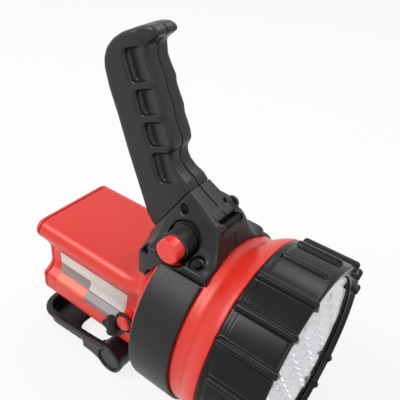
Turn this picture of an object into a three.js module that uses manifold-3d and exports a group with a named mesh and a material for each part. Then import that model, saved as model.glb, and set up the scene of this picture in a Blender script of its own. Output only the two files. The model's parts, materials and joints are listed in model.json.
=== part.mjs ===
// Handheld searchlight: a rechargeable lamp with a round LED head, a swivelling pistol grip on a saddle,
// a push-button switch and a folding stand. Millimetres, +Z up, the beam points along +X.
// Inside this file the beam axis is the X axis, and x = 0 is the rear edge of the black front ring.
import * as THREE from "three";
import * as BufferGeometryUtils from "three/addons/utils/BufferGeometryUtils.js";
import Module from "manifold-3d";

const wasm = await Module();
wasm.setup();

// Fits shared by all pieces: the gap between neighbours, a looser one, how far a cut runs past a face,
// how far joined shapes run into each other, the moulded wall, and a reach longer than the lamp
const gap = 0.3;
const loose = 0.6;
const overrun = 4;
const bite = 0.3;
const wall = 2.5;
const farReach = 260;
const halfShare = 0.5;

// Front ring
const ringRadius = 75;
const ringLength = 41;
const ringWall = 3.5;
const ringRibCount = 20;
const ringRibsPerGroup = 5;
const ringShortPerGroup = 2;
const ringRibHeight = 3;
const ringRibWidth = 5.5;
const ringRibRound = 1.6;
const ringRibTurn = -21;
const longRibInset = 1;
const shortRibInset = 4.5;
const ringRearLipLength = 5;
const ringRearLipStep = 0.6;
const ringFrontChamfer = 2;
const ringClampReach = 5.5;
const ringClampDepth = 2.5;
const ringClampThickness = 2;
const ribHookDepth = 5;
const ribHookWidth = 4.5;
const ringBore = ringRadius - ringWall;

// Housing head: the thread collar inside the ring, the flare, a plain lip, and the neck
const collarWall = 3;
const collarRadius = ringBore - gap;
const flareStep = 0.6;
const flareFrontRadius = ringRadius - flareStep;
const neckStep = 9.6;
const neckRadius = ringRadius - neckStep;
const neckTuck = 1.2;
const lipRise = 0.6;
const lipWidth = 6.5;
const lipRadius = neckRadius + lipRise;
const bandFrontX = -26;
const bandRearX = -60;
const flareRearX = bandFrontX + lipWidth;

// Lens, seal, reflector and lamp board, stacked behind the ring's clamp
const lensInset = 1.2;
const lensRadius = collarRadius - lensInset;
const lensThickness = 3;
const lensFlangeWidth = 9;
const lensFlangeRise = 1.8;
const gasketWidth = 4;
const gasketThickness = 1.6;
const reflectorFlangeThickness = 2;
const reflectorSideGap = 2.7;
const reflectorDraft = 1.25;
const reflectorWellDepth = 4.5;
const reflectorThickness = 14;
const reflectorRadius = collarRadius - collarWall - reflectorSideGap;
const cupRings = 3;
const cupRimWidth = 3;
const cupMouthRadius = 8.5;
const cupThroatRadius = 3.4;
const cupPitch = (reflectorRadius - cupRimWidth - cupMouthRadius) / cupRings;
const boardInset = 5.5;
const boardRadius = reflectorRadius - boardInset;
const boardThickness = 1.6;
const ledRadius = 2.5;
const ledHeight = 7;
const driverRadius = 22;
const driverStandoff = 14;
const driverPostRadius = 2.5;
const driverPostInset = 6;
const driverPostCount = 3;

// Housing body: a waisted section behind the shoulder, with a screwed cover at its rear
const shoulderSet = 4.5;
const shoulderLength = 27.5;
const shoulderX = bandRearX - shoulderSet;
const bodyFrontX = shoulderX - shoulderLength;
const coverSeamX = -184.2;
const coverThickness = 5.1;
const bodyRearX = coverSeamX - coverThickness;
const bodyTopZ = 26.6;
const bodyBottomZ = -50;
const bodyMiddleZ = -12;
const bodyHalfWidth = 40.8;
const bodyCorner = 9;
const flangeDrop = 14.5;
const waistHalfWidth = 28.5;
const waistTopZ = -7;
const waistBottomZ = -18;
const waistEase = 9;
const footHalfWidth = 38.5;
const footTopZ = -31;
const footEase = 6;
const coverWall = 3;
const spigotLength = 3;
const spigotWall = 2;
const sealThickness = 0.4;
const sealGap = 0.5;
const sealInset = 0.7;
const coverScrewTopY = 30.5;
const coverScrewTopZ = 16.5;
const coverScrewLowY = 29.5;
const coverScrewLowZ = -40.5;
const coverScrewLength = 16;
const coverBossRadius = 3.9;

// Neck band
const bandThickness = 3;

// Saddle base, two halves; its heights are counted up or down from the neck's radius
const seamFrontX = -59.9;
const seamFrontRise = 35;
const seamFrontZ = neckRadius + seamFrontRise;
const seamRearX = -86.5;
const seamRearDrop = 7.4;
const seamRearZ = neckRadius - seamRearDrop;
const baseHalfWidth = 12.5;
const skirtHalfWidth = 36.5;
const skirtTopDrop = 2.4;
const skirtTopZ = neckRadius - skirtTopDrop;
const skirtRearDrop = 12.5;
const skirtRearX = -87.4;
const noseX = -22.5;
const noseDrop = 9.4;
const noseZ = neckRadius - noseDrop;
const noseHalfWidth = 33;
const noseDrawIn = 2.4;
const saddleEdge = 1.4;
const baseBottomDrop = 29.6;
const baseBottomZ = neckRadius - baseBottomDrop;
const legCutRadius = 8.5;
const legCutX = -65.5;
const legCutDrop = 28.9;
const legCutZ = neckRadius - legCutDrop;
const partingGap = 0.2;

// Switch, pushed in along the width
const switchX = -54.5;
const switchRise = 3.9;
const switchZ = neckRadius + switchRise;
const switchWellRadius = 12.6;
const switchWellFloor = 15;
const panelThickness = 3;
const bushRadius = 10.2;
const bushEnd = 30.4;
const bushWall = 1.2;
const capRadius = 8.6;
const capEdge = 1;
const capEnd = 39;
const capRootDepth = 21;
const capTravel = 3;
const stemRadius = 3;
const switchRearEnd = 8.4;
const switchRearRadius = 7.3;
const switchFloor = 1.25;
const nutRadius = 12.1;
const nutThickness = 2.4;
const buttonSpringRadius = 5.2;
const buttonWire = 0.9;
const switchWindowHalf = 13;
const switchWindowNear = 29.2;
const switchWindowFar = 8;
const switchWindowDepth = 32;

// Strap bar in its well, and the plug on the far side
const strapBarX = -32.4;
const strapBarRise = 18.8;
const strapBarZ = neckRadius + strapBarRise;
const strapBarRadius = 2.1;
const strapWellDepth = 7.9;
const strapWellRise = 13.2;
const strapWellFloorZ = neckRadius + strapWellRise;
const strapEarRadius = 3.3;
const strapEarHalf = 11.5;
const strapHalfSlot = 8.5;
const strapBarSeat = 2;
const sideCapX = -41.5;
const sideCapRise = 23;
const sideCapZ = neckRadius + sideCapRise;
const sideCapRadius = 4.8;
const sideCapInnerY = 8.8;
const sideCapOuterY = 15.4;

// Saddle screws: two along the width, and one pointing at the beam axis into a boss in the neck
const frontScrewX = -60.3;
const frontScrewRise = 22.4;
const frontScrewHeadY = 10.5;
const rearScrewX = -75.2;
const rearScrewDrop = 7.2;
const rearScrewHeadY = 30.5;
const saddleScrewFarY = 6.2;
const neckScrewX = -37;
const neckScrewTurn = 24;
const neckScrewSeatRise = 2.2;
const neckScrewSeat = neckRadius + neckScrewSeatRise;
const neckScrewWell = 5.4;
const neckScrewLength = 13;
const neckScrewEnd = 2;
const neckBossRadius = 4.2;
const neckBossTuck = 1.2;
const screwShank = 1.5;
const screwHead = 3;
const screwHeadThickness = 2.2;
const screwWell = 3.5;

// Swivel
const boltRadius = 4;
const boltHeadRadius = 7;
const boltHeadThickness = 4;
const boltHeadDepth = 8;
const boltGripDepth = 8;
const swivelWasherThickness = 1.6;
const swivelSpringLength = 9;
const swivelSpringRadius = 5.9;
const swivelWire = 1.3;
const swivelNutRadius = 6.6;
const swivelNutThickness = 5;
const hexagonSides = 6;
const swivelWellClear = 1.2;

// Pistol grip, two halves, drawn on its own axis from the middle of the seam
const gripLean = 22;
const gripTop = 120.5;
const gripRear = 26.5;
const gripFront = 15.2;
const gripHalfWidth = 12.2;
const gripEdge = 2.8;
const gripHookHalfWidth = 11;
const gripHookEdge = 2.4;
const gripWall = 2.8;
const gripSeamReach = 16;
const gripBossRadius = 3.6;
const gripHeadDepth = 4.4;
const pocketDepth = 5;
const pocketLip = 0.7;
const pocketBack = 3.6;
const pocketReach = 20;
const pocketRound = 3.5;
const pocketWall = 1.25;

// Stand: a rimmed tray on a barrel hinge under a bracket
const standHalfWidth = 48;
const standLength = 88;
const standHubX = -102;
const standHubDrop = 17;
const standHubZ = bodyBottomZ - standHubDrop;
const standHubRadius = 13.2;
const standTop = 10.7;
const standDepth = 14.3;
const standLow = standTop - standDepth;
const standFloor = 3;
const standRimWidth = 6;
const standRimThickness = 3.5;
const standRimEdge = 1;
const standTroughInset = 4;
const standCorner = 20;
const standTilt = 5;
const standArmReach = 30;
const standArmEdge = 0.8;
const standSlotFront = 16.6;
const standSlotRear = 49;
const standSlotHalf = 36.7;
const standSlotCorner = 10;
const standCupRadius = 10.4;
const standCupDepth = 3.4;
const standPinRadius = 3;
const standCapThickness = 1.6;
const standCapNotch = 1.5;
const bracketHalfLength = 15;
const bracketHalfWidth = 15;
const bracketThickness = 2.6;
const bracketLugHalf = 11;
const bracketLugRadius = 10.6;
const bracketLugGap = 0.7;
const bracketPegSpread = 11;
const bracketPegRadius = 2.4;
const bracketPegTop = 2.2;

// Battery on its two floor ribs
const batteryPlay = 2.5;
const batteryLift = 2.1;
const batteryHeadroom = 0.5;
const batteryReach = 9.6;
const batteryRibY = 12;
const batteryRibWidth = 2;
const terminalInset = 12;
const terminalWidth = 6;
const terminalHeight = 7;
const terminalThickness = 1;

// Charging socket, and its rubber cap with a pull tab and a tether loop round a peg
const portX = -104.5;
const portDrop = 5.7;
const portZ = footTopZ - portDrop;
const portRadius = 4.9;
const portMouthRadius = 2.5;
const portMouthDepth = 7;
const socketLength = 10.5;
const portBossDepth = 7.5;
const portCapHalfLength = 10.4;
const portCapHalfHeight = 5.3;
const portCapThickness = 2.2;
const portCapEdge = 0.6;
const pullTabX = -101.5;
const pullTabRadius = 4.1;
const pullTabTopRadius = 3.6;
const pullTabFoot = 2.4;
const pullTabTopZ = -20.5;
const pegX = -90;
const pegRise = 11;
const pegZ = footTopZ + pegRise;
const pegRadius = 6.6;
const pegReach = 43;
const tetherWire = 1.1;
const tetherWidth = 3;
const tetherTailX = -94;

// Facet counts
const ringSteps = 60;
const roundSteps = 48;
const smallSteps = 16;
const tinySteps = 10;
const cupSteps = 8;
const ledSteps = 6;
const boreSteps = 24;
const flatSteps = 2;
const cornerSteps = 3;
const curveSteps = 4;
const pocketSteps = 2;
const wireSteps = 3;
const springTurns = 3;

const fullTurn = Math.PI * 2;
const halfTurn = Math.PI;
const quarterTurn = Math.PI / 2;
const rad = THREE.MathUtils.degToRad;

const looks = {
  shell: { color: "#e8402f", roughness: 0.42, metalness: 0 },
  black: { color: "#232325", roughness: 0.5, metalness: 0 },
  glossBlack: { color: "#17171a", roughness: 0.25, metalness: 0 },
  clear: { color: "#dfe5ea", roughness: 0.08, metalness: 0 },
  chrome: { color: "#e6e7ea", roughness: 0.12, metalness: 1 },
  button: { color: "#ff4136", roughness: 0.35, metalness: 0 },
  rubber: { color: "#161616", roughness: 0.8, metalness: 0 },
  steel: { color: "#b9bcc0", roughness: 0.35, metalness: 1 },
  darkSteel: { color: "#3a3b3e", roughness: 0.4, metalness: 1 },
  board: { color: "#1f5c3a", roughness: 0.6, metalness: 0 },
  cell: { color: "#3c4048", roughness: 0.6, metalness: 0 },
};

const searchlight = new THREE.Group();

// Solids

function toSolid(geometry) {
  const bare = geometry.index ? geometry.toNonIndexed() : geometry.clone();
  for (const name of Object.keys(bare.attributes)) {
    if (name !== "position") bare.deleteAttribute(name);
  }
  const merged = BufferGeometryUtils.mergeVertices(bare);
  const vertProperties = new Float32Array(merged.attributes.position.array);
  const triVerts = new Uint32Array(merged.index.array);
  return new wasm.Manifold(new wasm.Mesh({ numProp: 3, vertProperties, triVerts }));
}

function toGeometry(solid) {
  const mesh = solid.getMesh();
  const geometry = new THREE.BufferGeometry();
  geometry.setAttribute("position", new THREE.BufferAttribute(mesh.vertProperties, mesh.numProp));
  geometry.setIndex(new THREE.BufferAttribute(mesh.triVerts, 1));
  geometry.computeVertexNormals();
  return geometry;
}

function addPiece(name, solid, look) {
  const mesh = new THREE.Mesh(toGeometry(solid), new THREE.MeshStandardMaterial(look));
  mesh.name = name;
  searchlight.add(mesh);
}

function joinAll(solids) {
  return solids.reduce((whole, piece) => whole.add(piece));
}

function point(x, y, z) {
  return new THREE.Vector3(x, y, z);
}

function box(from, to) {
  const size = new THREE.Vector3().subVectors(to, from);
  const geometry = new THREE.BoxGeometry(size.x, size.y, size.z);
  const centre = from.clone().lerp(to, halfShare);
  geometry.translate(centre.x, centre.y, centre.z);
  return toSolid(geometry);
}

// A bar across the width at a place in x and z
function crossBar(x, z, yLow, yHigh, radius, steps = smallSteps) {
  return bar(point(x, yLow, z), point(x, yHigh, z), radius, steps);
}

function without(solid, cuts) {
  return cuts.reduce((left, cut) => left.subtract(cut), solid);
}

// A round bar from one point to another
function bar(from, to, radius, steps = smallSteps, endRadius = radius) {
  const along = new THREE.Vector3().subVectors(to, from);
  const geometry = new THREE.CylinderGeometry(endRadius, radius, along.length(), steps);
  geometry.applyQuaternion(new THREE.Quaternion().setFromUnitVectors(point(0, 1, 0), along.clone().normalize()));
  const centre = from.clone().lerp(to, halfShare);
  geometry.translate(centre.x, centre.y, centre.z);
  return toSolid(geometry);
}

function tube(from, to, outer, inner, steps = smallSteps) {
  const along = new THREE.Vector3().subVectors(to, from).setLength(overrun);
  const bore = bar(from.clone().sub(along), to.clone().add(along), inner, steps);
  return bar(from, to, outer, steps).subtract(bore);
}

// A body turned round the beam axis from a closed profile of [x, radius] corners
function turned(profile, steps = roundSteps) {
  const corners = profile.map(([x, radius]) => new THREE.Vector2(radius, x));
  const closed = [...corners, corners[0]];
  const geometry = new THREE.LatheGeometry(closed, steps);
  geometry.rotateZ(-quarterTurn);
  return toSolid(geometry);
}

// A flat outline in x and z, made solid over a range of y, with its edges rounded over
function sideSolid(outline, yLow, yHigh, edge = 0, edgeSteps = 2) {
  const depth = yHigh - yLow - edge - edge;
  const settings = { depth, steps: 1, curveSegments: tinySteps, bevelEnabled: edge > 0 };
  Object.assign(settings, { bevelSize: edge, bevelThickness: edge, bevelOffset: -edge, bevelSegments: edgeSteps });
  const geometry = new THREE.ExtrudeGeometry(outline, settings);
  geometry.rotateX(quarterTurn);
  geometry.translate(0, yHigh - edge, 0);
  return toSolid(geometry);
}

// A flat outline in x and y, made solid over a range of z
function planSolid(outline, zLow, zHigh, edge = 0) {
  const depth = zHigh - zLow - edge - edge;
  const settings = { depth, steps: 1, curveSegments: cornerSteps, bevelEnabled: edge > 0 };
  Object.assign(settings, { bevelSize: edge, bevelThickness: edge, bevelOffset: -edge, bevelSegments: 2 });
  const geometry = new THREE.ExtrudeGeometry(outline, settings);
  geometry.translate(0, 0, zLow + edge);
  return toSolid(geometry);
}

// A skin over outlines of equal counts, each in a plane across X, closed at both ends
function loft(stations) {
  const count = stations[0].outline.length;
  const positions = [];
  const index = [];
  for (const { x, outline } of stations) {
    for (const corner of outline) positions.push(x, corner.x, corner.y);
  }
  for (let s = 0; s < stations.length - 1; s += 1) {
    for (let i = 0; i < count; i += 1) {
      const next = (i + 1) % count;
      const a = s * count + i;
      const b = s * count + next;
      const c = a + count;
      const d = b + count;
      index.push(a, b, d, a, d, c);
    }
  }
  const last = (stations.length - 1) * count;
  for (const [a, b, c] of THREE.ShapeUtils.triangulateShape(stations[0].outline, [])) index.push(a, c, b);
  for (const [a, b, c] of THREE.ShapeUtils.triangulateShape(stations.at(-1).outline, [])) {
    index.push(last + a, last + b, last + c);
  }
  const geometry = new THREE.BufferGeometry();
  geometry.setAttribute("position", new THREE.Float32BufferAttribute(positions, 3));
  geometry.setIndex(index);
  return toSolid(geometry);
}

// An outline moved out along its normals, or in where the distance is negative
function grown(outline, distance) {
  const count = outline.length;
  return outline.map((corner, i) => {
    const before = outline[(i + count - 1) % count];
    const after = outline[(i + 1) % count];
    const along = new THREE.Vector2().subVectors(after, before).normalize();
    return new THREE.Vector2(corner.x + along.y * distance, corner.y - along.x * distance);
  });
}

function roundedRectangle(x0, y0, x1, y1, radius) {
  const shape = new THREE.Shape();
  shape.moveTo(x0 + radius, y0);
  shape.lineTo(x1 - radius, y0);
  shape.absarc(x1 - radius, y0 + radius, radius, -quarterTurn, 0, false);
  shape.lineTo(x1, y1 - radius);
  shape.absarc(x1 - radius, y1 - radius, radius, 0, quarterTurn, false);
  shape.lineTo(x0 + radius, y1);
  shape.absarc(x0 + radius, y1 - radius, radius, quarterTurn, halfTurn, false);
  shape.lineTo(x0, y0 + radius);
  shape.absarc(x0 + radius, y0 + radius, radius, halfTurn, halfTurn + quarterTurn, false);
  return shape;
}

// A compression spring as one wire wound on a helix from one point to another
function spring(from, to, radius, wire) {
  const along = new THREE.Vector3().subVectors(to, from);
  const turn = new THREE.Quaternion().setFromUnitVectors(point(0, 0, 1), along.clone().normalize());
  const steps = springTurns * tinySteps;
  const points = [];
  for (let i = 0; i <= steps; i += 1) {
    const angle = (i / tinySteps) * fullTurn;
    const place = point(radius * Math.cos(angle), radius * Math.sin(angle), (along.length() * i) / steps);
    points.push(place.applyQuaternion(turn).add(from));
  }
  const section = new THREE.Shape();
  section.absarc(0, 0, wire * halfShare, 0, fullTurn, false);
  const path = new THREE.CatmullRomCurve3(points);
  const settings = { steps, curveSegments: wireSteps, bevelEnabled: false, extrudePath: path };
  return toSolid(new THREE.ExtrudeGeometry(section, settings));
}

// Housing skin: the waisted body outline runs into circles at the neck and the head

function quarterArc(y, z, from) {
  return new THREE.EllipseCurve(y, z, bodyCorner, bodyCorner, from, from - quarterTurn, true);
}

function bodyOutline() {
  const top = new THREE.Vector2(0, bodyTopZ);
  const flangeStart = new THREE.Vector2(bodyHalfWidth - bodyCorner, bodyTopZ);
  const flangeLow = new THREE.Vector2(bodyHalfWidth, bodyTopZ - bodyCorner);
  const waistTop = new THREE.Vector2(waistHalfWidth, waistTopZ);
  const waistLow = new THREE.Vector2(waistHalfWidth, waistBottomZ);
  const footTop = new THREE.Vector2(footHalfWidth, footTopZ);
  const footLow = new THREE.Vector2(footHalfWidth, bodyBottomZ + bodyCorner);
  const footEnd = new THREE.Vector2(footHalfWidth - bodyCorner, bodyBottomZ);
  const bottom = new THREE.Vector2(0, bodyBottomZ);
  const flangePull = new THREE.Vector2(bodyHalfWidth, bodyTopZ - flangeDrop);
  const waistPull = new THREE.Vector2(waistHalfWidth, waistTopZ + waistEase);
  const footPull = new THREE.Vector2(waistHalfWidth, waistBottomZ - waistEase);
  const footTopPull = new THREE.Vector2(footHalfWidth, footTopZ + footEase);
  const pieces = [
    [new THREE.LineCurve(top, flangeStart), flatSteps],
    [quarterArc(flangeStart.x, flangeLow.y, quarterTurn), cornerSteps],
    [new THREE.CubicBezierCurve(flangeLow, flangePull, waistPull, waistTop), curveSteps],
    [new THREE.LineCurve(waistTop, waistLow), 1],
    [new THREE.CubicBezierCurve(waistLow, footPull, footTopPull, footTop), curveSteps],
    [new THREE.LineCurve(footTop, footLow), 1],
    [quarterArc(footEnd.x, footLow.y, 0), cornerSteps],
    [new THREE.LineCurve(footEnd, bottom), flatSteps],
  ];
  const right = pieces.flatMap(([curve, steps]) => curve.getPoints(steps).slice(0, -1));
  const left = right.slice(1).map((corner) => new THREE.Vector2(-corner.x, corner.y));
  return [...left, bottom, ...right.reverse()];
}

const bodySection = bodyOutline();

// The same corners moved on to a circle round the beam axis
function circleOutline(radius) {
  return bodySection.map((corner) => {
    const angle = Math.atan2(corner.y - bodyMiddleZ, corner.x);
    return new THREE.Vector2(radius * Math.cos(angle), radius * Math.sin(angle));
  });
}

function blended(radius, share) {
  const circle = circleOutline(radius);
  return bodySection.map((corner, i) => corner.clone().lerp(circle[i], share));
}

// The shoulder: along it, how far it has turned from the body's outline to a circle, and that circle's radius
const shoulderShares = [
  [0, 0, 0.76],
  [0.22, 0.1, 0.76],
  [0.42, 0.28, 0.765],
  [0.6, 0.52, 0.78],
  [0.76, 0.75, 0.825],
  [0.9, 0.94, 0.89],
  [1, 1, 0.95],
];
// The head's flare: along it, and how much of its growth is done
const headFlareShares = [[0, 0], [0.14, 0.07], [0.3, 0.3], [0.52, 0.61], [0.76, 0.87], [1, 1]];

function bodyStations() {
  const shoulder = shoulderShares.map(([along, turnShare, radiusShare]) => {
    return { x: bodyFrontX + shoulderLength * along, outline: blended(neckRadius * radiusShare, turnShare) };
  });
  return [...shoulder, { x: bandRearX, outline: circleOutline(neckRadius - neckTuck) }];
}

function bodyLoft(rearX, offset) {
  const stations = [{ x: rearX, outline: bodySection }, ...bodyStations()];
  return loft(stations.map(({ x, outline }) => ({ x, outline: grown(outline, offset) })));
}

function housingSkin(offset) {
  const flare = headFlareShares.map(([along, rise]) => {
    const x = flareRearX + (-gap - flareRearX) * along;
    return [x, lipRadius + (flareFrontRadius - lipRadius) * rise];
  });
  const rounds = [
    [bandRearX - bite, neckRadius],
    [bandFrontX, neckRadius],
    [bandFrontX, lipRadius],
    ...flare,
    [-gap, collarRadius],
    [collarLength, collarRadius],
  ];
  const profile = rounds.map(([x, radius]) => [x, radius + offset]);
  const head = turned([[bandRearX - bite, 0], ...profile, [collarLength, 0]]);
  return bodyLoft(coverSeamX + sealGap, offset).add(head);
}

function headBore() {
  return turned([
    [bandRearX - bite, 0],
    [bandRearX - bite, neckRadius - wall],
    [bandFrontX, neckRadius - wall],
    [flareRearX * halfShare, neckRadius - wall + lipRise],
    [-gap, collarRadius - collarWall],
    [collarLength + overrun, collarRadius - collarWall],
    [collarLength + overrun, 0],
  ], boreSteps);
}

function mainHousing() {
  const bossRearX = coverSeamX + spigotLength + gap;
  const bossFrontX = coverSeamX + coverScrewLength;
  const bosses = coverScrewPlaces().map(([y, z]) => {
    return bar(point(bossRearX, y, z), point(bossFrontX + overrun, y, z), coverBossRadius, tinySteps);
  });
  const webs = coverScrewPlaces().map(([y, z]) => {
    const wallY = Math.sign(y) * (footHalfWidth - wall * halfShare);
    const low = point(bossRearX, Math.min(y, wallY), z - wall * halfShare);
    return box(low, point(bossFrontX, Math.max(y, wallY), z + wall * halfShare));
  });
  const screwHoles = coverScrewPlaces().map(([y, z]) => {
    return bar(point(coverSeamX - overrun, y, z), point(bossFrontX, y, z), screwShank + gap, tinySteps);
  });
  const floorZ = bodyBottomZ + wall;
  const ribs = [-batteryRibY, batteryRibY].map((y) => {
    const low = point(bossRearX, y - batteryRibWidth * halfShare, floorZ - bite);
    return box(low, point(bodyFrontX, y + batteryRibWidth * halfShare, floorZ + batteryLift - gap));
  });
  const bracketHoles = bracketPegPlaces().map((x) => {
    return bar(point(x, 0, bodyBottomZ - overrun), point(x, 0, floorZ + overrun), bracketPegRadius + gap, tinySteps);
  });
  const peg = crossBar(pegX, pegZ, -pegReach, -waistHalfWidth + wall, pegRadius);
  const portBossEnd = -footHalfWidth + portBossDepth;
  const portBoss = crossBar(portX, portZ, -footHalfWidth + wall * halfShare, portBossEnd, portRadius + gap + wall);
  const portHole = crossBar(portX, portZ, -footHalfWidth - overrun, portBossEnd + overrun, portRadius + gap);
  const window = box(
    point(switchX - switchWindowHalf, -switchWindowNear, neckRadius - switchWindowDepth),
    point(switchX + switchWindowHalf, switchWindowFar, neckRadius + overrun),
  );
  const neckBossEnd = neckScrewSeat - neckScrewLength;
  const neckBoss = bar(onNeckScrew(neckBossEnd), onNeckScrew(neckRadius - neckBossTuck), neckBossRadius);
  const neckHoleFrom = onNeckScrew(neckBossEnd - overrun);
  const neckHole = bar(neckHoleFrom, onNeckScrew(neckRadius + overrun), screwShank + gap, tinySteps);
  const shell = without(housingSkin(0), [bodyLoft(coverSeamX - overrun, -wall), headBore()]);
  const solid = joinAll([shell, ...bosses, ...webs, ...ribs, peg, portBoss, neckBoss]);
  return without(solid, [...screwHoles, ...bracketHoles, portHole, window, neckHole]);
}

function coverScrewPlaces() {
  return [
    [-coverScrewTopY, coverScrewTopZ],
    [coverScrewTopY, coverScrewTopZ],
    [-coverScrewLowY, coverScrewLowZ],
    [coverScrewLowY, coverScrewLowZ],
  ];
}

// Rear cover, its seal and its four screws

const coverLength = coverThickness - sealGap;
// The cover's rounded rim: along its length, and how far in from the body's outline
const coverEdgeShares = [[0, 0.72], [0.1, 0.4], [0.27, 0.17], [0.5, 0.04], [0.75, 0], [1, 0]];

function rearCover() {
  const shell = loft(
    coverEdgeShares.map(([along, inset]) => {
      return { x: bodyRearX + coverLength * along, outline: grown(bodySection, -coverLength * inset) };
    }),
  );
  const spigotOutline = grown(bodySection, -wall - loose);
  const hollowOutline = grown(bodySection, -wall - loose - spigotWall);
  const spigotFrontX = coverSeamX + spigotLength;
  const spigot = loft([
    { x: bodyRearX + coverLength - bite, outline: spigotOutline },
    { x: spigotFrontX, outline: spigotOutline },
  ]);
  const hollow = loft([
    { x: bodyRearX + coverWall, outline: hollowOutline },
    { x: spigotFrontX + overrun, outline: hollowOutline },
  ]);
  const bosses = coverScrewPlaces().map(([y, z]) => {
    return bar(point(bodyRearX + coverWall - bite, y, z), point(spigotFrontX, y, z), coverBossRadius, tinySteps);
  });
  const headFloorX = bodyRearX + screwHeadThickness + gap;
  const heads = coverScrewPlaces().map(([y, z]) => {
    return bar(point(bodyRearX - overrun, y, z), point(headFloorX, y, z), screwWell, tinySteps);
  });
  const holes = coverScrewPlaces().map(([y, z]) => {
    return bar(point(bodyRearX - overrun, y, z), point(spigotFrontX + overrun, y, z), screwShank + gap, tinySteps);
  });
  return without(joinAll([shell.add(spigot).subtract(hollow), ...bosses]), [...heads, ...holes]);
}

function rearSeal() {
  const outer = grown(bodySection, -sealInset);
  const inner = grown(bodySection, -wall - gap);
  const from = coverSeamX - sealThickness * halfShare;
  const to = coverSeamX + sealThickness * halfShare;
  const hole = loft([{ x: from - overrun, outline: inner }, { x: to + overrun, outline: inner }]);
  return loft([{ x: from, outline: outer }, { x: to, outline: outer }]).subtract(hole);
}

// A screw from the face of its head along a direction
function screw(start, direction, length) {
  const under = start.clone().addScaledVector(direction, screwHeadThickness);
  const end = start.clone().addScaledVector(direction, length);
  return bar(start, under, screwHead, tinySteps).add(bar(start, end, screwShank, tinySteps));
}

// Front ring with its moulded grip ribs in groups of three long and two short

function ringRib(isLong) {
  const start = isLong ? longRibInset : shortRibInset;
  const end = isLong ? ringLength + ringRibRound : ringLength - shortRibInset;
  const root = ringRadius - ringFrontChamfer;
  const top = ringRadius + ringRibHeight;
  const toe = isLong ? ringRadius - ribHookDepth : root;
  const outline = new THREE.Shape();
  outline.moveTo(start, root);
  outline.lineTo(end - ribHookWidth, root);
  if (isLong) outline.lineTo(end - ribHookWidth, toe);
  outline.lineTo(end, toe);
  outline.lineTo(end, top - ringRibRound);
  outline.lineTo(end - ringRibRound, top);
  outline.lineTo(start + ringRibRound, top);
  outline.lineTo(start, top - ringRibRound);
  const half = ringRibWidth * halfShare;
  return sideSolid(outline, -half, half, ringRibRound, 1);
}

function frontRing() {
  const clampFrontX = ringLength - ringClampDepth;
  const clampRearX = clampFrontX - ringClampThickness;
  const shell = turned([
    [0, ringBore],
    [0, ringRadius - ringRearLipStep],
    [ringRearLipLength, ringRadius - ringRearLipStep],
    [ringRearLipLength + ringRearLipStep, ringRadius],
    [ringLength - ringFrontChamfer, ringRadius],
    [ringLength, ringRadius - ringFrontChamfer * halfShare],
    [ringLength, ringBore],
    [clampFrontX, ringBore - gap],
    [clampFrontX, ringBore - ringClampReach],
    [clampRearX, ringBore - ringClampReach],
    [clampRearX, ringBore],
  ], ringSteps);
  const ribs = [];
  for (let i = 0; i < ringRibCount; i += 1) {
    const isLong = i % ringRibsPerGroup >= ringShortPerGroup;
    const turnAngle = ringRibTurn + THREE.MathUtils.radToDeg((i * fullTurn) / ringRibCount);
    ribs.push(ringRib(isLong).rotate([turnAngle, 0, 0]));
  }
  return joinAll([shell, ...ribs]);
}

// Lens with a raised clamping flange, its seal, and the reflector with a cup for every lamp

const lensFrontX = ringLength - ringClampDepth - ringClampThickness - gap;
const lensRearX = lensFrontX - lensThickness - lensFlangeRise;
const gasketRearX = lensRearX - gap - gasketThickness;
const reflectorFlangeFrontX = gasketRearX - gap;
const reflectorFlangeRearX = reflectorFlangeFrontX - reflectorFlangeThickness;
const reflectorFrontX = reflectorFlangeFrontX - reflectorWellDepth;
const reflectorRearX = reflectorFrontX - reflectorThickness;
const boardFrontX = reflectorRearX - gap;
const boardRearX = boardFrontX - boardThickness;
const collarLength = reflectorFlangeRearX - gap;

function lens() {
  const flangeRadius = lensRadius - lensFlangeWidth;
  return turned([
    [lensRearX, 0],
    [lensRearX, lensRadius],
    [lensFrontX, lensRadius],
    [lensFrontX, flangeRadius],
    [lensFrontX - lensFlangeRise, flangeRadius - lensFlangeRise],
    [lensFrontX - lensFlangeRise, 0],
  ]);
}

function gasket() {
  return turned([
    [gasketRearX, lensRadius - gasketWidth],
    [gasketRearX, lensRadius],
    [gasketRearX + gasketThickness, lensRadius],
    [gasketRearX + gasketThickness, lensRadius - gasketWidth],
  ]);
}

// The middles of the cups: one, then rings of 6, 12 and 18 on a hexagon
function cupPlaces() {
  const places = [[0, 0]];
  const side = fullTurn / hexagonSides;
  for (let ring = 1; ring <= cupRings; ring += 1) {
    for (let corner = 0; corner < hexagonSides; corner += 1) {
      const from = corner * side;
      const to = from + side;
      for (let i = 0; i < ring; i += 1) {
        const share = i / ring;
        const y = (1 - share) * Math.cos(from) + share * Math.cos(to);
        const z = (1 - share) * Math.sin(from) + share * Math.sin(to);
        places.push([ring * cupPitch * y, ring * cupPitch * z]);
      }
    }
  }
  return places;
}

function reflector() {
  const dish = turned([
    [reflectorRearX, 0],
    [reflectorRearX, reflectorRadius],
    [reflectorFlangeRearX, reflectorRadius + reflectorDraft],
    [reflectorFlangeRearX, lensRadius],
    [reflectorFlangeFrontX, lensRadius],
    [reflectorFlangeFrontX, reflectorRadius - gap],
    [reflectorFrontX, reflectorRadius - reflectorDraft],
    [reflectorFrontX, 0],
  ]);
  const cups = cupPlaces().map(([y, z]) => {
    const throat = point(reflectorRearX - bite, y, z);
    return bar(throat, point(reflectorFrontX + bite, y, z), cupThroatRadius, cupSteps, cupMouthRadius);
  });
  return dish.subtract(joinAll(cups));
}

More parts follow.
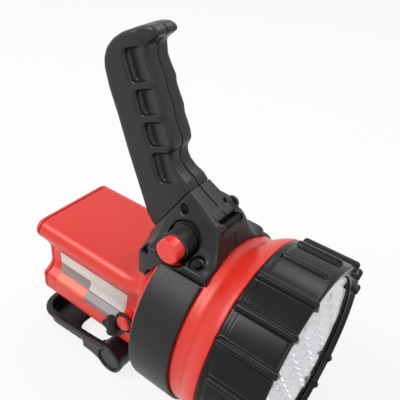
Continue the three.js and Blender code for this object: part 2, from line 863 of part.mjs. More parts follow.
function ledBoard() {
  const plate = bar(point(boardRearX, 0, 0), point(boardFrontX, 0, 0), boardRadius, roundSteps);
  const leds = cupPlaces().map(([y, z]) => {
    const tip = point(boardFrontX + ledHeight, y, z);
    return bar(point(boardFrontX - bite, y, z), tip, ledRadius, ledSteps, ledRadius * halfShare);
  });
  return plate.add(joinAll(leds));
}

function driverBoard() {
  const frontX = boardRearX - driverStandoff;
  const plate = bar(point(frontX - boardThickness, 0, 0), point(frontX, 0, 0), driverRadius);
  const circle = driverRadius - driverPostInset;
  const posts = [];
  for (let i = 0; i < driverPostCount; i += 1) {
    const angle = (i * fullTurn) / driverPostCount;
    const y = circle * Math.cos(angle);
    const z = circle * Math.sin(angle);
    posts.push(bar(point(frontX - bite, y, z), point(boardRearX - gap, y, z), driverPostRadius, tinySteps));
  }
  return plate.add(joinAll(posts));
}

// Neck band: a collar round the neck, open where the saddle stands

function neckBand(offset) {
  const ring = turned([
    [bandRearX - offset, neckRadius + gap - offset],
    [bandRearX - offset, neckRadius + bandThickness + offset],
    [bandFrontX - gap + offset, neckRadius + bandThickness + offset],
    [bandFrontX - gap + offset, neckRadius + gap - offset],
  ], ringSteps);
  const half = skirtHalfWidth + gap - offset;
  return ring.subtract(box(point(bandRearX - overrun, -half, 0), point(bandFrontX + overrun, half, ringRadius)));
}

// Saddle base: a loft along the beam whose sections flare from the grip's width out to the skirt

const seamSlope = (seamFrontZ - seamRearZ) / (seamFrontX - seamRearX);
const seamMiddle = point(seamFrontX, 0, seamFrontZ).lerp(point(seamRearX, 0, seamRearZ), halfShare);
const seamAngle = Math.atan2(seamFrontZ - seamRearZ, seamFrontX - seamRearX);
const seamAlong = point(Math.cos(seamAngle), 0, Math.sin(seamAngle));
const seamOut = point(-Math.sin(seamAngle), 0, Math.cos(seamAngle));

// Width gained and height lost from the top edge down to the skirt, as shares of the whole
const skirtFlareShares = [[0, 0], [0.06, 0.21], [0.15, 0.4], [0.27, 0.62], [0.42, 0.81], [0.64, 0.92], [1, 1]];
// The nose in front of the seam: along, down, and how far its top edge has widened
const noseShares = [
  [0.25, 0.12, 0.02],
  [0.475, 0.225, 0.1],
  [0.68, 0.32, 0.17],
  [0.76, 0.4, 0.21],
  [0.805, 0.5, 0.27],
  [0.865, 0.66, 0.38],
  [0.93, 0.81, 0.6],
  [0.975, 0.955, 0.82],
  [1, 1, 1],
];
// The skirt behind the band: along to the rear edge, how far its top has dropped, and its half width
const skirtRearShares = [
  [1, 1, 0.6],
  [0.87, 0.95, 0.86],
  [0.74, 0.6, 0.985],
  [0.5, 0.1, 1],
  [0.25, 0, 1],
  [0, 0, 1],
];

function saddleOutline(topZ, topHalf, sideTopZ, sideHalf) {
  const half = [new THREE.Vector2(0, topZ), new THREE.Vector2(topHalf - saddleEdge, topZ)];
  for (const [out, down] of skirtFlareShares) {
    const y = topHalf + (sideHalf - topHalf) * out;
    const z = topZ - saddleEdge + (sideTopZ - topZ + saddleEdge) * down;
    half.push(new THREE.Vector2(y, z));
  }
  half.push(new THREE.Vector2(sideHalf, baseBottomZ));
  half.push(new THREE.Vector2(0, baseBottomZ));
  const other = half.slice(1, -1).reverse().map((place) => new THREE.Vector2(-place.x, place.y));
  return [...half, ...other].reverse();
}

function saddleBlank() {
  const stations = [];
  for (const [back, dropShare, widthShare] of skirtRearShares) {
    const x = seamFrontX + (skirtRearX - seamFrontX) * back;
    const seamZ = seamFrontZ + (x - seamFrontX) * seamSlope;
    const sideTopZ = skirtTopZ - skirtRearDrop * dropShare;
    const topZ = Math.max(seamZ + baseHalfWidth * back, sideTopZ + overrun);
    stations.push({ x, outline: saddleOutline(topZ, baseHalfWidth, sideTopZ, skirtHalfWidth * widthShare) });
  }
  for (const [along, down, wide] of noseShares) {
    const x = seamFrontX + (noseX - seamFrontX) * along;
    const topZ = seamFrontZ + (noseZ - seamFrontZ) * down;
    const topHalf = baseHalfWidth + (noseHalfWidth - baseHalfWidth) * wide;
    const sideHalf = Math.max(topHalf + gap, skirtHalfWidth - noseDrawIn * wide * wide);
    const sideTopZ = Math.min(skirtTopZ, topZ - gripEdge);
    stations.push({ x, outline: saddleOutline(topZ, topHalf, sideTopZ, sideHalf) });
  }
  return loft(stations);
}

// A thick slab on one side of the seam plane, at a distance from it
function seamSlab(near, far) {
  const middle = seamMiddle.clone().addScaledVector(seamOut, near + (far - near) * halfShare);
  const geometry = new THREE.BoxGeometry(farReach, farReach, Math.abs(far - near));
  geometry.rotateY(-seamAngle);
  geometry.translate(middle.x, middle.y, middle.z);
  return toSolid(geometry);
}

function alongSeamOut(distance) {
  return seamMiddle.clone().addScaledVector(seamOut, distance);
}

const saddleScrews = [
  { x: frontScrewX, z: neckRadius + frontScrewRise, head: frontScrewHeadY },
  { x: rearScrewX, z: neckRadius - rearScrewDrop, head: rearScrewHeadY },
];

// The third screw points at the beam axis and holds the saddle to a boss inside the neck
const neckScrewOut = point(0, -Math.sin(rad(neckScrewTurn)), Math.cos(rad(neckScrewTurn)));

function onNeckScrew(radius) {
  return point(neckScrewX, 0, 0).addScaledVector(neckScrewOut, radius);
}

function saddleWhole() {
  const boltHeadEnd = -boltHeadDepth - boltHeadThickness - gap;
  const strapWellRearX = strapBarX - strapWellDepth;
  const strapEnd = strapHalfSlot + strapBarSeat;
  const cuts = [
    housingSkin(gap),
    neckBand(gap),
    seamSlab(-gap * halfShare, gripTop),
    crossBar(switchX, switchZ, -farReach, -switchWellFloor, switchWellRadius, roundSteps),
    crossBar(switchX, switchZ, -switchWellFloor - overrun, -switchRearEnd + gap, bushRadius + gap),
    box(point(strapWellRearX, -strapHalfSlot, strapWellFloorZ), point(0, strapHalfSlot, seamFrontZ)),
    crossBar(strapBarX, strapBarZ, -strapEnd, strapEnd, strapBarRadius + gap, tinySteps),
    bar(alongSeamOut(boltHeadEnd), alongSeamOut(-boltHeadDepth + gap), boltHeadRadius + gap),
    bar(alongSeamOut(-boltHeadDepth), alongSeamOut(overrun), boltRadius + gap),
    crossBar(legCutX, legCutZ, -farReach, farReach, legCutRadius),
    crossBar(sideCapX, sideCapZ, sideCapInnerY - gap, skirtHalfWidth, sideCapRadius + gap),
    bar(onNeckScrew(neckScrewSeat), onNeckScrew(farReach), neckScrewWell),
    bar(onNeckScrew(neckRadius), onNeckScrew(neckScrewSeat + gap), screwShank + gap, tinySteps),
  ];
  for (const { x, z, head } of saddleScrews) {
    cuts.push(crossBar(x, z, -farReach, -head, screwWell, tinySteps));
    cuts.push(crossBar(x, z, -head - gap, saddleScrewFarY, screwShank + gap, tinySteps));
  }
  const ears = crossBar(strapBarX, strapBarZ, -strapEarHalf, strapEarHalf, strapEarRadius);
  return without(saddleBlank().add(ears), cuts);
}

function nearHalf(solid) {
  return solid.subtract(box(point(-farReach, -partingGap, -farReach), point(farReach, farReach, farReach)));
}

function farHalf(solid) {
  return solid.subtract(box(point(-farReach, -farReach, -farReach), point(farReach, partingGap, farReach)));
}

// Switch: a panel bush with its nut, the red push cap on its stem, and the return spring

function switchBody() {
  const panelFar = switchWellFloor - panelThickness;
  const boreEnd = -capRootDepth + capTravel + gap;
  const bush = crossBar(switchX, switchZ, -bushEnd, -panelFar - gap, bushRadius);
  const rear = crossBar(switchX, switchZ, -panelFar - loose, -switchRearEnd, switchRearRadius);
  const bore = crossBar(switchX, switchZ, -bushEnd - overrun, boreEnd, bushRadius - bushWall);
  const stemHole = crossBar(switchX, switchZ, -capRootDepth, -switchRearEnd - switchFloor, stemRadius + gap, tinySteps);
  return without(bush.add(rear), [bore, stemHole]);
}

function switchNut() {
  const seat = point(switchX, -switchWellFloor - gap, switchZ);
  const front = point(switchX, seat.y - nutThickness, switchZ);
  return tube(front, seat, nutRadius, bushRadius + gap);
}

const capRootY = -capRootDepth - buttonSpringRadius;

function switchCap() {
  const rimRoot = point(switchX, -capEnd + capEdge, switchZ);
  const cap = crossBar(switchX, switchZ, -capEnd + capEdge, capRootY, capRadius);
  const rim = bar(rimRoot, point(switchX, -capEnd, switchZ), capRadius, smallSteps, capRadius - capEdge);
  const stemEnd = switchRearEnd + switchFloor + capTravel + loose;
  const stem = crossBar(switchX, switchZ, capRootY, -stemEnd, stemRadius, tinySteps);
  return joinAll([cap, rim, stem]);
}

function switchSpring() {
  const wireHalf = buttonWire * halfShare;
  const from = point(switchX, capRootY + wireHalf + gap, switchZ);
  const to = point(switchX, -capRootDepth + capTravel - wireHalf, switchZ);
  return spring(from, to, buttonSpringRadius, buttonWire);
}

// Pistol grip, drawn in its own plane: up the grip, and forward

const gripUp = point(-Math.sin(rad(gripLean)), 0, Math.cos(rad(gripLean)));
const gripForward = point(Math.cos(rad(gripLean)), 0, Math.sin(rad(gripLean)));

function gripPlace(up, forward) {
  const place = seamMiddle.clone().addScaledVector(gripUp, up).addScaledVector(gripForward, forward);
  return new THREE.Vector2(place.x, place.z);
}

// The rear, from the seam to the top of the crown: shares of the grip's top and of its rear depth
const gripRearShares = [
  [-0.09, -0.885],
  [-0.03, -0.955],
  [0.135, -0.975],
  [0.357, -1.01],
  [0.568, -1.005],
  [0.729, -1.03],
  [0.84, -0.985],
  [0.892, -0.895],
  [0.94, -0.71],
  [0.975, -0.42],
  [0.993, -0.1],
  [0.997, 0.25],
];
// The front, from the hook's root down over the finger waves and the toe to the seam
const gripFrontShares = [
  [0.98, 0.75],
  [0.945, 0.93],
  [0.887, 0.96],
  [0.831, 0.875],
  [0.777, 0.92],
  [0.722, 0.985],
  [0.676, 0.94],
  [0.613, 0.99],
  [0.564, 1.04],
  [0.525, 0.965],
  [0.475, 1.01],
  [0.415, 1.06],
  [0.364, 0.98],
  [0.333, 0.74],
  [0.295, 0.67],
  [0.252, 0.72],
  [0.207, 0.92],
  [0.165, 1.2],
];
// The hook over the top of the hand, from its root round the tip and back
const gripHookShares = [
  [0.9, 0.1],
  [0.96, -0.1],
  [0.994, 0.15],
  [1, 0.6],
  [1, 1.085],
  [0.989, 1.467],
  [0.963, 1.69],
  [0.936, 1.72],
  [0.924, 1.49],
  [0.911, 1.16],
  [0.885, 0.84],
];

function gripRows(shares, depth) {
  return shares.map(([up, out]) => gripPlace(gripTop * up, depth * out));
}

function gripOutline(inset) {
  const rows = [...gripRows(gripRearShares, gripRear), ...gripRows(gripFrontShares, gripFront)];
  const along = new THREE.Vector2(seamAlong.x, seamAlong.z);
  const seamRear = new THREE.Vector2(seamRearX, seamRearZ).addScaledVector(along, -gap);
  const seamFront = new THREE.Vector2(seamFrontX, seamFrontZ);
  const below = new THREE.Vector2(-seamOut.x, -seamOut.z).multiplyScalar(overrun);
  const outline = [seamRear.clone().add(below), seamRear, ...rows, seamFront, seamFront.clone().add(below)];
  return new THREE.Shape(grown(outline, inset).reverse());
}

// Finger pockets: how far up the grip each one's middle is, and its height. Each is deep at its rear wall
// and its floor ramps out to the rounded front edge.
const pocketShares = [[0.821, 0.177], [0.624, 0.138], [0.448, 0.133], [0.255, 0.175]];
const pocketRamp = Math.atan2(pocketDepth - pocketLip, pocketReach);

function pocket([middleShare, heightShare], side, margin) {
  const tall = gripTop * heightShare * halfShare + margin;
  const shape = roundedRectangle(-margin, -tall, pocketReach + margin, tall, pocketRound);
  const settings = { depth: gripHalfWidth, steps: 1, curveSegments: pocketSteps, bevelEnabled: false };
  const geometry = new THREE.ExtrudeGeometry(shape, settings);
  geometry.rotateX(quarterTurn);
  if (side > 0) geometry.translate(0, gripHalfWidth, 0);
  geometry.rotateZ(side * pocketRamp);
  geometry.rotateY(-rad(gripLean));
  const place = gripPlace(gripTop * middleShare, -pocketBack);
  geometry.translate(place.x, side * (gripHalfWidth - pocketDepth - margin), place.y);
  return toSolid(geometry);
}

function pockets(margin) {
  return pocketShares.flatMap((row) => [pocket(row, -1, margin), pocket(row, 1, margin)]);
}

const gripScrewShares = [[0.82, -0.6], [0.5, -0.6], [0.27, -0.6]];

function gripScrewPlaces() {
  return gripScrewShares.map(([up, out]) => gripPlace(gripTop * up, gripRear * out));
}

const swivelWasherAt = boltGripDepth + gap;
const swivelSpringAt = swivelWasherAt + swivelWasherThickness + gap;
const swivelNutAt = swivelSpringAt + swivelSpringLength + gap;
const swivelEnd = swivelNutAt + swivelNutThickness;

function gripWhole() {
  const hook = new THREE.Shape(gripRows(gripHookShares, gripFront).reverse());
  const body = sideSolid(gripOutline(0), -gripHalfWidth, gripHalfWidth, gripEdge);
  const skin = body.add(sideSolid(hook, -gripHookHalfWidth, gripHookHalfWidth, gripHookEdge));
  const coreHalf = gripHalfWidth - gripWall;
  const bosses = gripScrewPlaces().map((place) => {
    return crossBar(place.x, place.y, -gripHalfWidth, gripHalfWidth, gripBossRadius, tinySteps);
  });
  const hollow = sideSolid(gripOutline(gripWall), -coreHalf, coreHalf);
  const core = without(hollow, [seamSlab(-gripSeamReach, boltGripDepth), ...pockets(pocketWall), ...bosses]);
  const wellRadius = swivelNutRadius + swivelWellClear;
  const well = bar(alongSeamOut(boltGripDepth - gap), alongSeamOut(swivelEnd + loose), wellRadius);
  const boltHole = bar(alongSeamOut(-overrun), alongSeamOut(swivelEnd), boltRadius + gap);
  const cuts = [core, well, seamSlab(gap * halfShare, -gripTop), boltHole, ...pockets(0)];
  const headFloor = gripHalfWidth - gripHeadDepth;
  for (const place of gripScrewPlaces()) {
    cuts.push(crossBar(place.x, place.y, headFloor, gripHalfWidth + overrun, screwWell, tinySteps));
    cuts.push(crossBar(place.x, place.y, -gripHalfWidth + gripWall, headFloor + gap, screwShank + gap, tinySteps));
  }
  return without(skin, cuts);
}

// Swivel bolt with its washer, spring and nut

function swivelBolt() {
  const head = bar(alongSeamOut(-boltHeadDepth - boltHeadThickness), alongSeamOut(-boltHeadDepth), boltHeadRadius);
  return head.add(bar(alongSeamOut(-boltHeadDepth), alongSeamOut(swivelEnd), boltRadius));
}

function swivelWasher() {
  const top = alongSeamOut(swivelWasherAt + swivelWasherThickness);
  return tube(alongSeamOut(swivelWasherAt), top, swivelNutRadius + loose, boltRadius + gap);
}

function swivelSpring() {
  const from = alongSeamOut(swivelSpringAt + swivelWire * halfShare);
  const to = alongSeamOut(swivelSpringAt + swivelSpringLength - swivelWire * halfShare);
  return spring(from, to, swivelSpringRadius, swivelWire);
}

function swivelNut() {
  const bore = bar(alongSeamOut(swivelNutAt - overrun), alongSeamOut(swivelEnd + overrun), boltRadius + gap);
  return bar(alongSeamOut(swivelNutAt), alongSeamOut(swivelEnd), swivelNutRadius, hexagonSides).subtract(bore);
}

// Stand: a rimmed tray with a window, two hub arms and a barrel, drawn round its pin and then tilted

function standPlan(inset) {
  const half = standHalfWidth - inset;
  return roundedRectangle(-standLength + inset, -half, standCorner, half, standCorner - inset);
}

function standArm(side) {
  const outline = new THREE.Shape();
  const meet = standHubRadius * Math.SQRT1_2;
  outline.moveTo(-standArmReach, standLow);
  outline.quadraticCurveTo(-standHubRadius, standLow, -meet, -meet);
  outline.absarc(0, 0, standHubRadius, -halfTurn + quarterTurn * halfShare, quarterTurn, false);
  outline.lineTo(-standArmReach, standTop);
  const outer = side * standHalfWidth;
  const inner = side * (standHalfWidth - standRimWidth);
  return sideSolid(outline, Math.min(outer, inner), Math.max(outer, inner), standArmEdge, 1);
}

function stand() {
  const rim = planSolid(standPlan(0), standTop - standRimThickness, standTop, standRimEdge);
  const trough = planSolid(standPlan(standTroughInset), standLow, standTop - standRimEdge);
  const recess = planSolid(standPlan(standRimWidth), standLow + standFloor, standTop + overrun);
  const slotShape = roundedRectangle(-standSlotRear, -standSlotHalf, -standSlotFront, standSlotHalf, standSlotCorner);
  const slot = planSolid(slotShape, standLow - overrun, standTop + overrun);
  const front = box(point(0, -farReach, -farReach), point(farReach, farReach, farReach));
  const tray = without(rim.add(trough), [recess, slot, front]);
  const barrelEnd = standHalfWidth - standCupDepth - loose;
  const barrel = crossBar(0, 0, -barrelEnd, barrelEnd, standHubRadius - loose, roundSteps);
  const cups = [-1, 1].map((side) => {
    const outer = point(0, side * (standHalfWidth + overrun), 0);
    return bar(point(0, side * (standHalfWidth - standCupDepth), 0), outer, standCupRadius);
  });
  const bore = crossBar(0, 0, -standHalfWidth, standHalfWidth, standPinRadius + gap);
  const clearHalf = bracketLugHalf + loose;
  const reach = bracketLugRadius + bracketLugGap;
  const notch = box(point(-reach, -clearHalf, -farReach), point(farReach, clearHalf, farReach));
  const whole = without(joinAll([tray, standArm(-1), standArm(1), barrel]), [...cups, bore, notch]);
  return whole.rotate([0, -standTilt, 0]).translate([standHubX, 0, standHubZ]);
}

// The bracket under the body: a plate with two moulded pegs, and the lug that the pin goes through

function bracketPegPlaces() {
  return [standHubX - bracketPegSpread, standHubX + bracketPegSpread];
}

function standBracket() {
  const plateTopZ = bodyBottomZ - gap;
  const plateLowZ = plateTopZ - bracketThickness;
  const plate = box(
    point(standHubX - bracketHalfLength, -bracketHalfWidth, plateLowZ),
    point(standHubX + bracketHalfLength, bracketHalfWidth, plateTopZ),
  );
  const outline = new THREE.Shape();
  outline.moveTo(standHubX - bracketLugRadius, plateLowZ + bite);
  outline.lineTo(standHubX - bracketLugRadius, standHubZ);
  outline.absarc(standHubX, standHubZ, bracketLugRadius, halfTurn, 0, false);
  outline.lineTo(standHubX + bracketLugRadius, plateLowZ + bite);
  const lug = sideSolid(outline, -bracketLugHalf, bracketLugHalf);
  const pegs = bracketPegPlaces().map((x) => {
    return bar(point(x, 0, plateTopZ - bite), point(x, 0, bodyBottomZ + bracketPegTop), bracketPegRadius, tinySteps);
  });
  const bore = crossBar(standHubX, standHubZ, -standHalfWidth, standHalfWidth, standPinRadius + gap);
  return joinAll([plate, lug, ...pegs]).subtract(bore);
}

function standPin() {
  const half = standHalfWidth - standCupDepth;
  return crossBar(standHubX, standHubZ, -half, half, standPinRadius);
}

// A flat cap in each hub, with a notch for prying it out
function standCap(side) {
  const near = side * (standHalfWidth - standCupDepth + gap);
  const far = near + side * standCapThickness;
  const radius = standCupRadius - gap;
  const cap = crossBar(standHubX, standHubZ, Math.min(near, far), Math.max(near, far), radius);
  const notchX = standHubX - radius * Math.SQRT1_2;
  const notchZ = standHubZ + radius * Math.SQRT1_2;
  return cap.subtract(crossBar(notchX, notchZ, -farReach, farReach, standCapNotch, tinySteps));
}

// Battery, charging socket and the rubber cap with its tether round the peg

function battery() {
  const rearX = coverSeamX + spigotLength + gap;
  const frontX = bodyFrontX + batteryReach;
  const half = waistHalfWidth - wall - batteryPlay;
  const floorZ = bodyBottomZ + wall + batteryLift;
  const topZ = bodyTopZ - wall - batteryHeadroom;
  const block = box(point(rearX, -half, floorZ), point(frontX, half, topZ));
  const terminals = [-1, 1].map((side) => {
    const y = side * (half - terminalInset);
    const z = topZ - terminalWidth;
    const low = point(frontX - bite, y - terminalWidth * halfShare, z - terminalThickness);
    return box(low, point(frontX + terminalHeight, y + terminalWidth * halfShare, z));
  });
  return joinAll([block, ...terminals]);
}

function chargeSocket() {
  const front = -footHalfWidth + wall;
  const body = crossBar(portX, portZ, front, front + socketLength, portRadius);
  return body.subtract(crossBar(portX, portZ, front - overrun, front + portMouthDepth, portMouthRadius, tinySteps));
}

function portCap() {
  const face = -footHalfWidth - gap;
  const outer = face - portCapThickness;
  const oval = new THREE.Shape();
  oval.absellipse(portX, portZ, portCapHalfLength, portCapHalfHeight, 0, fullTurn, false);
  const flange = sideSolid(oval, outer, face, portCapEdge, 1);
  const tabY = face - pullTabRadius;
  const tabRoot = point(pullTabX, tabY, portZ);
  const tab = bar(tabRoot, point(pullTabX, tabY, pullTabTopZ), pullTabRadius, smallSteps, pullTabTopRadius);
  const foot = bar(tabRoot, point(pullTabX, tabY, portZ - pullTabFoot), pullTabRadius, smallSteps, pullTabFoot);
  const plug = crossBar(portX, portZ, face - bite, -footHalfWidth + wall - gap, portRadius - gap);
  const loopInner = pegRadius + gap;
  const loopOuter = loopInner + tetherWire + tetherWire;
  const loopFar = face - portCapThickness;
  const loop = tube(point(pegX, loopFar, pegZ), point(pegX, face, pegZ), loopOuter, loopInner);
  const tail = new THREE.Shape();
  tail.moveTo(tetherTailX - tetherWidth - tetherWidth, portZ - tetherWire);
  tail.lineTo(tetherTailX, portZ - tetherWire);
  tail.lineTo(pegX + tetherWire, pegZ - loopInner - tetherWire);
  tail.lineTo(pegX - tetherWidth, pegZ - loopInner - loose);
  tail.lineTo(tetherTailX - tetherWidth, portZ + tetherWire);
  tail.lineTo(tetherTailX - tetherWidth - tetherWidth, portZ + tetherWire);
  return joinAll([flange, tab, foot, plug, loop, sideSolid(tail, outer, face)]);
}

// Assembly

addPiece("main_housing", mainHousing(), looks.shell);
addPiece("rear_cover", rearCover(), looks.shell);
addPiece("rear_seal", rearSeal(), looks.rubber);
coverScrewPlaces().forEach(([y, z], i) => {
  const start = point(bodyRearX + gap, y, z);
  addPiece(`cover_screw_${i + 1}`, screw(start, point(1, 0, 0), coverScrewLength), looks.darkSteel);
});
addPiece("front_ring", frontRing(), looks.glossBlack);
addPiece("lens", lens(), looks.clear);
addPiece("lens_gasket", gasket(), looks.rubber);
addPiece("reflector", reflector(), looks.chrome);
addPiece("led_board", ledBoard(), looks.board);
addPiece("driver_board", driverBoard(), looks.board);
addPiece("neck_band", neckBand(0), looks.black);
addPiece("battery", battery(), looks.cell);
addPiece("charge_socket", chargeSocket(), looks.black);
addPiece("port_cap", portCap(), looks.rubber);

const saddle = saddleWhole();
addPiece("base_left", farHalf(saddle), looks.black);
addPiece("base_right", nearHalf(saddle), looks.black);
saddleScrews.forEach(({ x, z, head }, i) => {
  const start = point(x, -head - screwHeadThickness - gap, z);
  addPiece(`base_screw_${i + 1}`, screw(start, point(0, 1, 0), head + saddleScrewFarY), looks.darkSteel);
});
const neckScrewStart = onNeckScrew(neckScrewSeat + screwHeadThickness + gap);
const neckScrewReach = screwHeadThickness + gap + neckScrewLength - neckScrewEnd;
addPiece("base_screw_3", screw(neckScrewStart, neckScrewOut.clone().negate(), neckScrewReach), looks.darkSteel);
addPiece("side_cap", crossBar(sideCapX, sideCapZ, sideCapInnerY, sideCapOuterY, sideCapRadius), looks.black);
const strapBarEnd = strapHalfSlot + strapBarSeat - gap;
const strapBar = crossBar(strapBarX, strapBarZ, -strapBarEnd, strapBarEnd, strapBarRadius, tinySteps);
addPiece("strap_bar", strapBar, looks.darkSteel);

addPiece("switch_body", switchBody(), looks.black);
addPiece("switch_nut", switchNut(), looks.black);
addPiece("switch_button", switchCap(), looks.button);
addPiece("switch_spring", switchSpring(), looks.steel);

const grip = gripWhole();
addPiece("grip_left", farHalf(grip), looks.black);
addPiece("grip_right", nearHalf(grip), looks.black);
gripScrewPlaces().forEach((place, i) => {
  const start = point(place.x, gripHalfWidth - screwHeadThickness + gap, place.y);
  addPiece(`grip_screw_${i + 1}`, screw(start, point(0, -1, 0), gripHalfWidth + gripWall), looks.darkSteel);
});
addPiece("swivel_bolt", swivelBolt(), looks.steel);
addPiece("swivel_washer", swivelWasher(), looks.steel);
addPiece("swivel_spring", swivelSpring(), looks.steel);
addPiece("swivel_nut", swivelNut(), looks.steel);

addPiece("stand_bracket", standBracket(), looks.shell);
addPiece("stand", stand(), looks.black);
addPiece("stand_pin", standPin(), looks.steel);
addPiece("stand_cap_near", standCap(-1), looks.darkSteel);
addPiece("stand_cap_far", standCap(1), looks.darkSteel);

// The origin is on the table under the middle of the lamp
const bounds = new THREE.Box3().setFromObject(searchlight);
const middle = bounds.getCenter(point(0, 0, 0));
searchlight.position.set(-middle.x, -middle.y, -bounds.min.z);

export default searchlight;
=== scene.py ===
"""The looks of a handheld searchlight, built round its CAD solids, in metres, +Z up, the beam along +X."""

import json
import math

import bmesh
import bpy
import numpy as np
from mathutils import Matrix, Vector
from mathutils.bvhtree import BVHTree
from mathutils.geometry import delaunay_2d_cdt


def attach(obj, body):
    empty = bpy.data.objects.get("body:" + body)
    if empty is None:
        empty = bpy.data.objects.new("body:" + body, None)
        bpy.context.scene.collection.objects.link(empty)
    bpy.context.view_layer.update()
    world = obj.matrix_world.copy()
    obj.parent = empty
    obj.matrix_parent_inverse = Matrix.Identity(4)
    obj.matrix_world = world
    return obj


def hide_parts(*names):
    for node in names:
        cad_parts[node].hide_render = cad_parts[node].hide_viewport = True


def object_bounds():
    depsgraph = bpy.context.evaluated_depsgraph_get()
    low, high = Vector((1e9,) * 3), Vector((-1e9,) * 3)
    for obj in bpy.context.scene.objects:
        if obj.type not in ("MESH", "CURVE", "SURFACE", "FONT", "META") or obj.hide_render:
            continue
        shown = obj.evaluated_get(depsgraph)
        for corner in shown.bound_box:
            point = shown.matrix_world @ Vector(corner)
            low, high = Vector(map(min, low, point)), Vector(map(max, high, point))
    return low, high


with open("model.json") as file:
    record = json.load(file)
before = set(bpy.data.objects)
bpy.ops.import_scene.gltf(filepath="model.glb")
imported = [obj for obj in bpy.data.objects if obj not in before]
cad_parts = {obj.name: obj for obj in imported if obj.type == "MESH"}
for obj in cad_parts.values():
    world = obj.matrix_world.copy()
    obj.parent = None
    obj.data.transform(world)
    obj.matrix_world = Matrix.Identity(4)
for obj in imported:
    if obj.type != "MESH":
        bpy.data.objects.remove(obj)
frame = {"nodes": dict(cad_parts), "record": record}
cad_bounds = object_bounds()
nodes = frame["nodes"]

# The design frame's X axis is the beam axis, and its x = 0 lies at the rear edge of the front ring.
# Lengths below are millimetres of that frame, except where a line says metres
MM = 0.001
DESIGN_ORIGIN = Vector((0.073955, 0.0, 0.080150))


def at(x, y, z):
    """A point of the design frame, in millimetres, as a point of the row frame in metres."""
    return Vector((x, y, z)) * MM + DESIGN_ORIGIN


# Camera, as fitted to the photograph

AZIMUTH, ELEVATION, ROLL = 36.8, 34.8, 3.6
CAMERA_PLACE = (103.4, -244.3, 290.3)
SENSOR, FOCAL_LENGTH = 36, 47.74
SHIFT_X, SHIFT_Y = 0.0633, 0.0025


def make_camera():
    azimuth, elevation, roll = (math.radians(a) for a in (AZIMUTH, ELEVATION, ROLL))
    forward = Vector(
        (
            -math.sin(azimuth) * math.cos(elevation),
            math.cos(azimuth) * math.cos(elevation),
            -math.sin(elevation),
        )
    )
    right = Vector((math.cos(azimuth), math.sin(azimuth), 0))
    up = right.cross(forward)
    rolled_right = right * math.cos(roll) + up * math.sin(roll)
    rolled_up = up * math.cos(roll) - right * math.sin(roll)
    turn = Matrix((rolled_right, rolled_up, -forward)).transposed()
    data = bpy.data.cameras.new("camera")
    data.sensor_width = SENSOR
    data.lens = FOCAL_LENGTH
    data.shift_x = SHIFT_X
    data.shift_y = SHIFT_Y
    data.clip_start = 0.01
    camera = bpy.data.objects.new("camera", data)
    camera.matrix_world = Matrix.Translation(at(*CAMERA_PLACE)) @ turn.to_4x4()
    bpy.context.scene.collection.objects.link(camera)
    bpy.context.scene.camera = camera


make_camera()

# Materials


def hex_colour(text):
    """An sRGB hex colour as linear RGBA."""
    channels = []
    for i in (0, 2, 4):
        c = int(text[i : i + 2], 16) / 255
        channels.append(c / 12.92 if c <= 0.04045 else ((c + 0.055) / 1.055) ** 2.4)
    return (*channels, 1.0)


BLACK, WHITE = hex_colour("000000"), hex_colour("ffffff")


def per_metre(size):
    """The scale of a noise whose features have a real size in millimetres."""
    return 1 / (size * MM)


def waves_per_metre(spacing):
    """The scale of a wave texture for a spacing in millimetres. At scale 1 it repeats 20 / tau times."""
    return math.tau / 20 / (spacing * MM)


def add_node(tree, kind, settings=None, stops=(), **inputs):
    """Adds a node with its settings and colour stops, and sets or links its inputs by name or number (i0)."""
    node = tree.nodes.new(kind)
    for name, value in (settings or {}).items():
        setattr(node, name, value)
    for i, (position, colour) in enumerate(stops):
        node.color_ramp.elements[i].position = position
        node.color_ramp.elements[i].color = colour
    for name, value in inputs.items():
        numbered = name[0] == "i" and name[1:].isdigit()
        socket = node.inputs[int(name[1:]) if numbered else name.replace("_", " ")]
        if isinstance(value, bpy.types.NodeSocket):
            tree.links.new(value, socket)
        else:
            socket.default_value = value
    return node


def new_material(name, **surface):
    """A material with one Principled shader; surface gives the shader's own values."""
    material = bpy.data.materials.new(name)
    material.use_nodes = True
    tree = material.node_tree
    shader = tree.nodes["Principled BSDF"]
    for socket, value in surface.items():
        shader.inputs[socket.replace("_", " ")].default_value = value
    return material, tree, shader


def connect(tree, shader, **sources):
    """Links sources to the shader's sockets: an output, or a node for its first one."""
    for socket, source in sources.items():
        output = source.outputs[0] if isinstance(source, bpy.types.Node) else source
        tree.links.new(output, shader.inputs[socket.replace("_", " ")])


# In the moulded plastics, how wide the slow colour drift is, and how wide one scuff on an edge
COLOUR_DRIFT, SCUFF = 55.6, 2.5
# The pointiness at which an edge starts to look handled, and at which it fully does
EDGE_START, EDGE_FULL = 0.53, 0.62


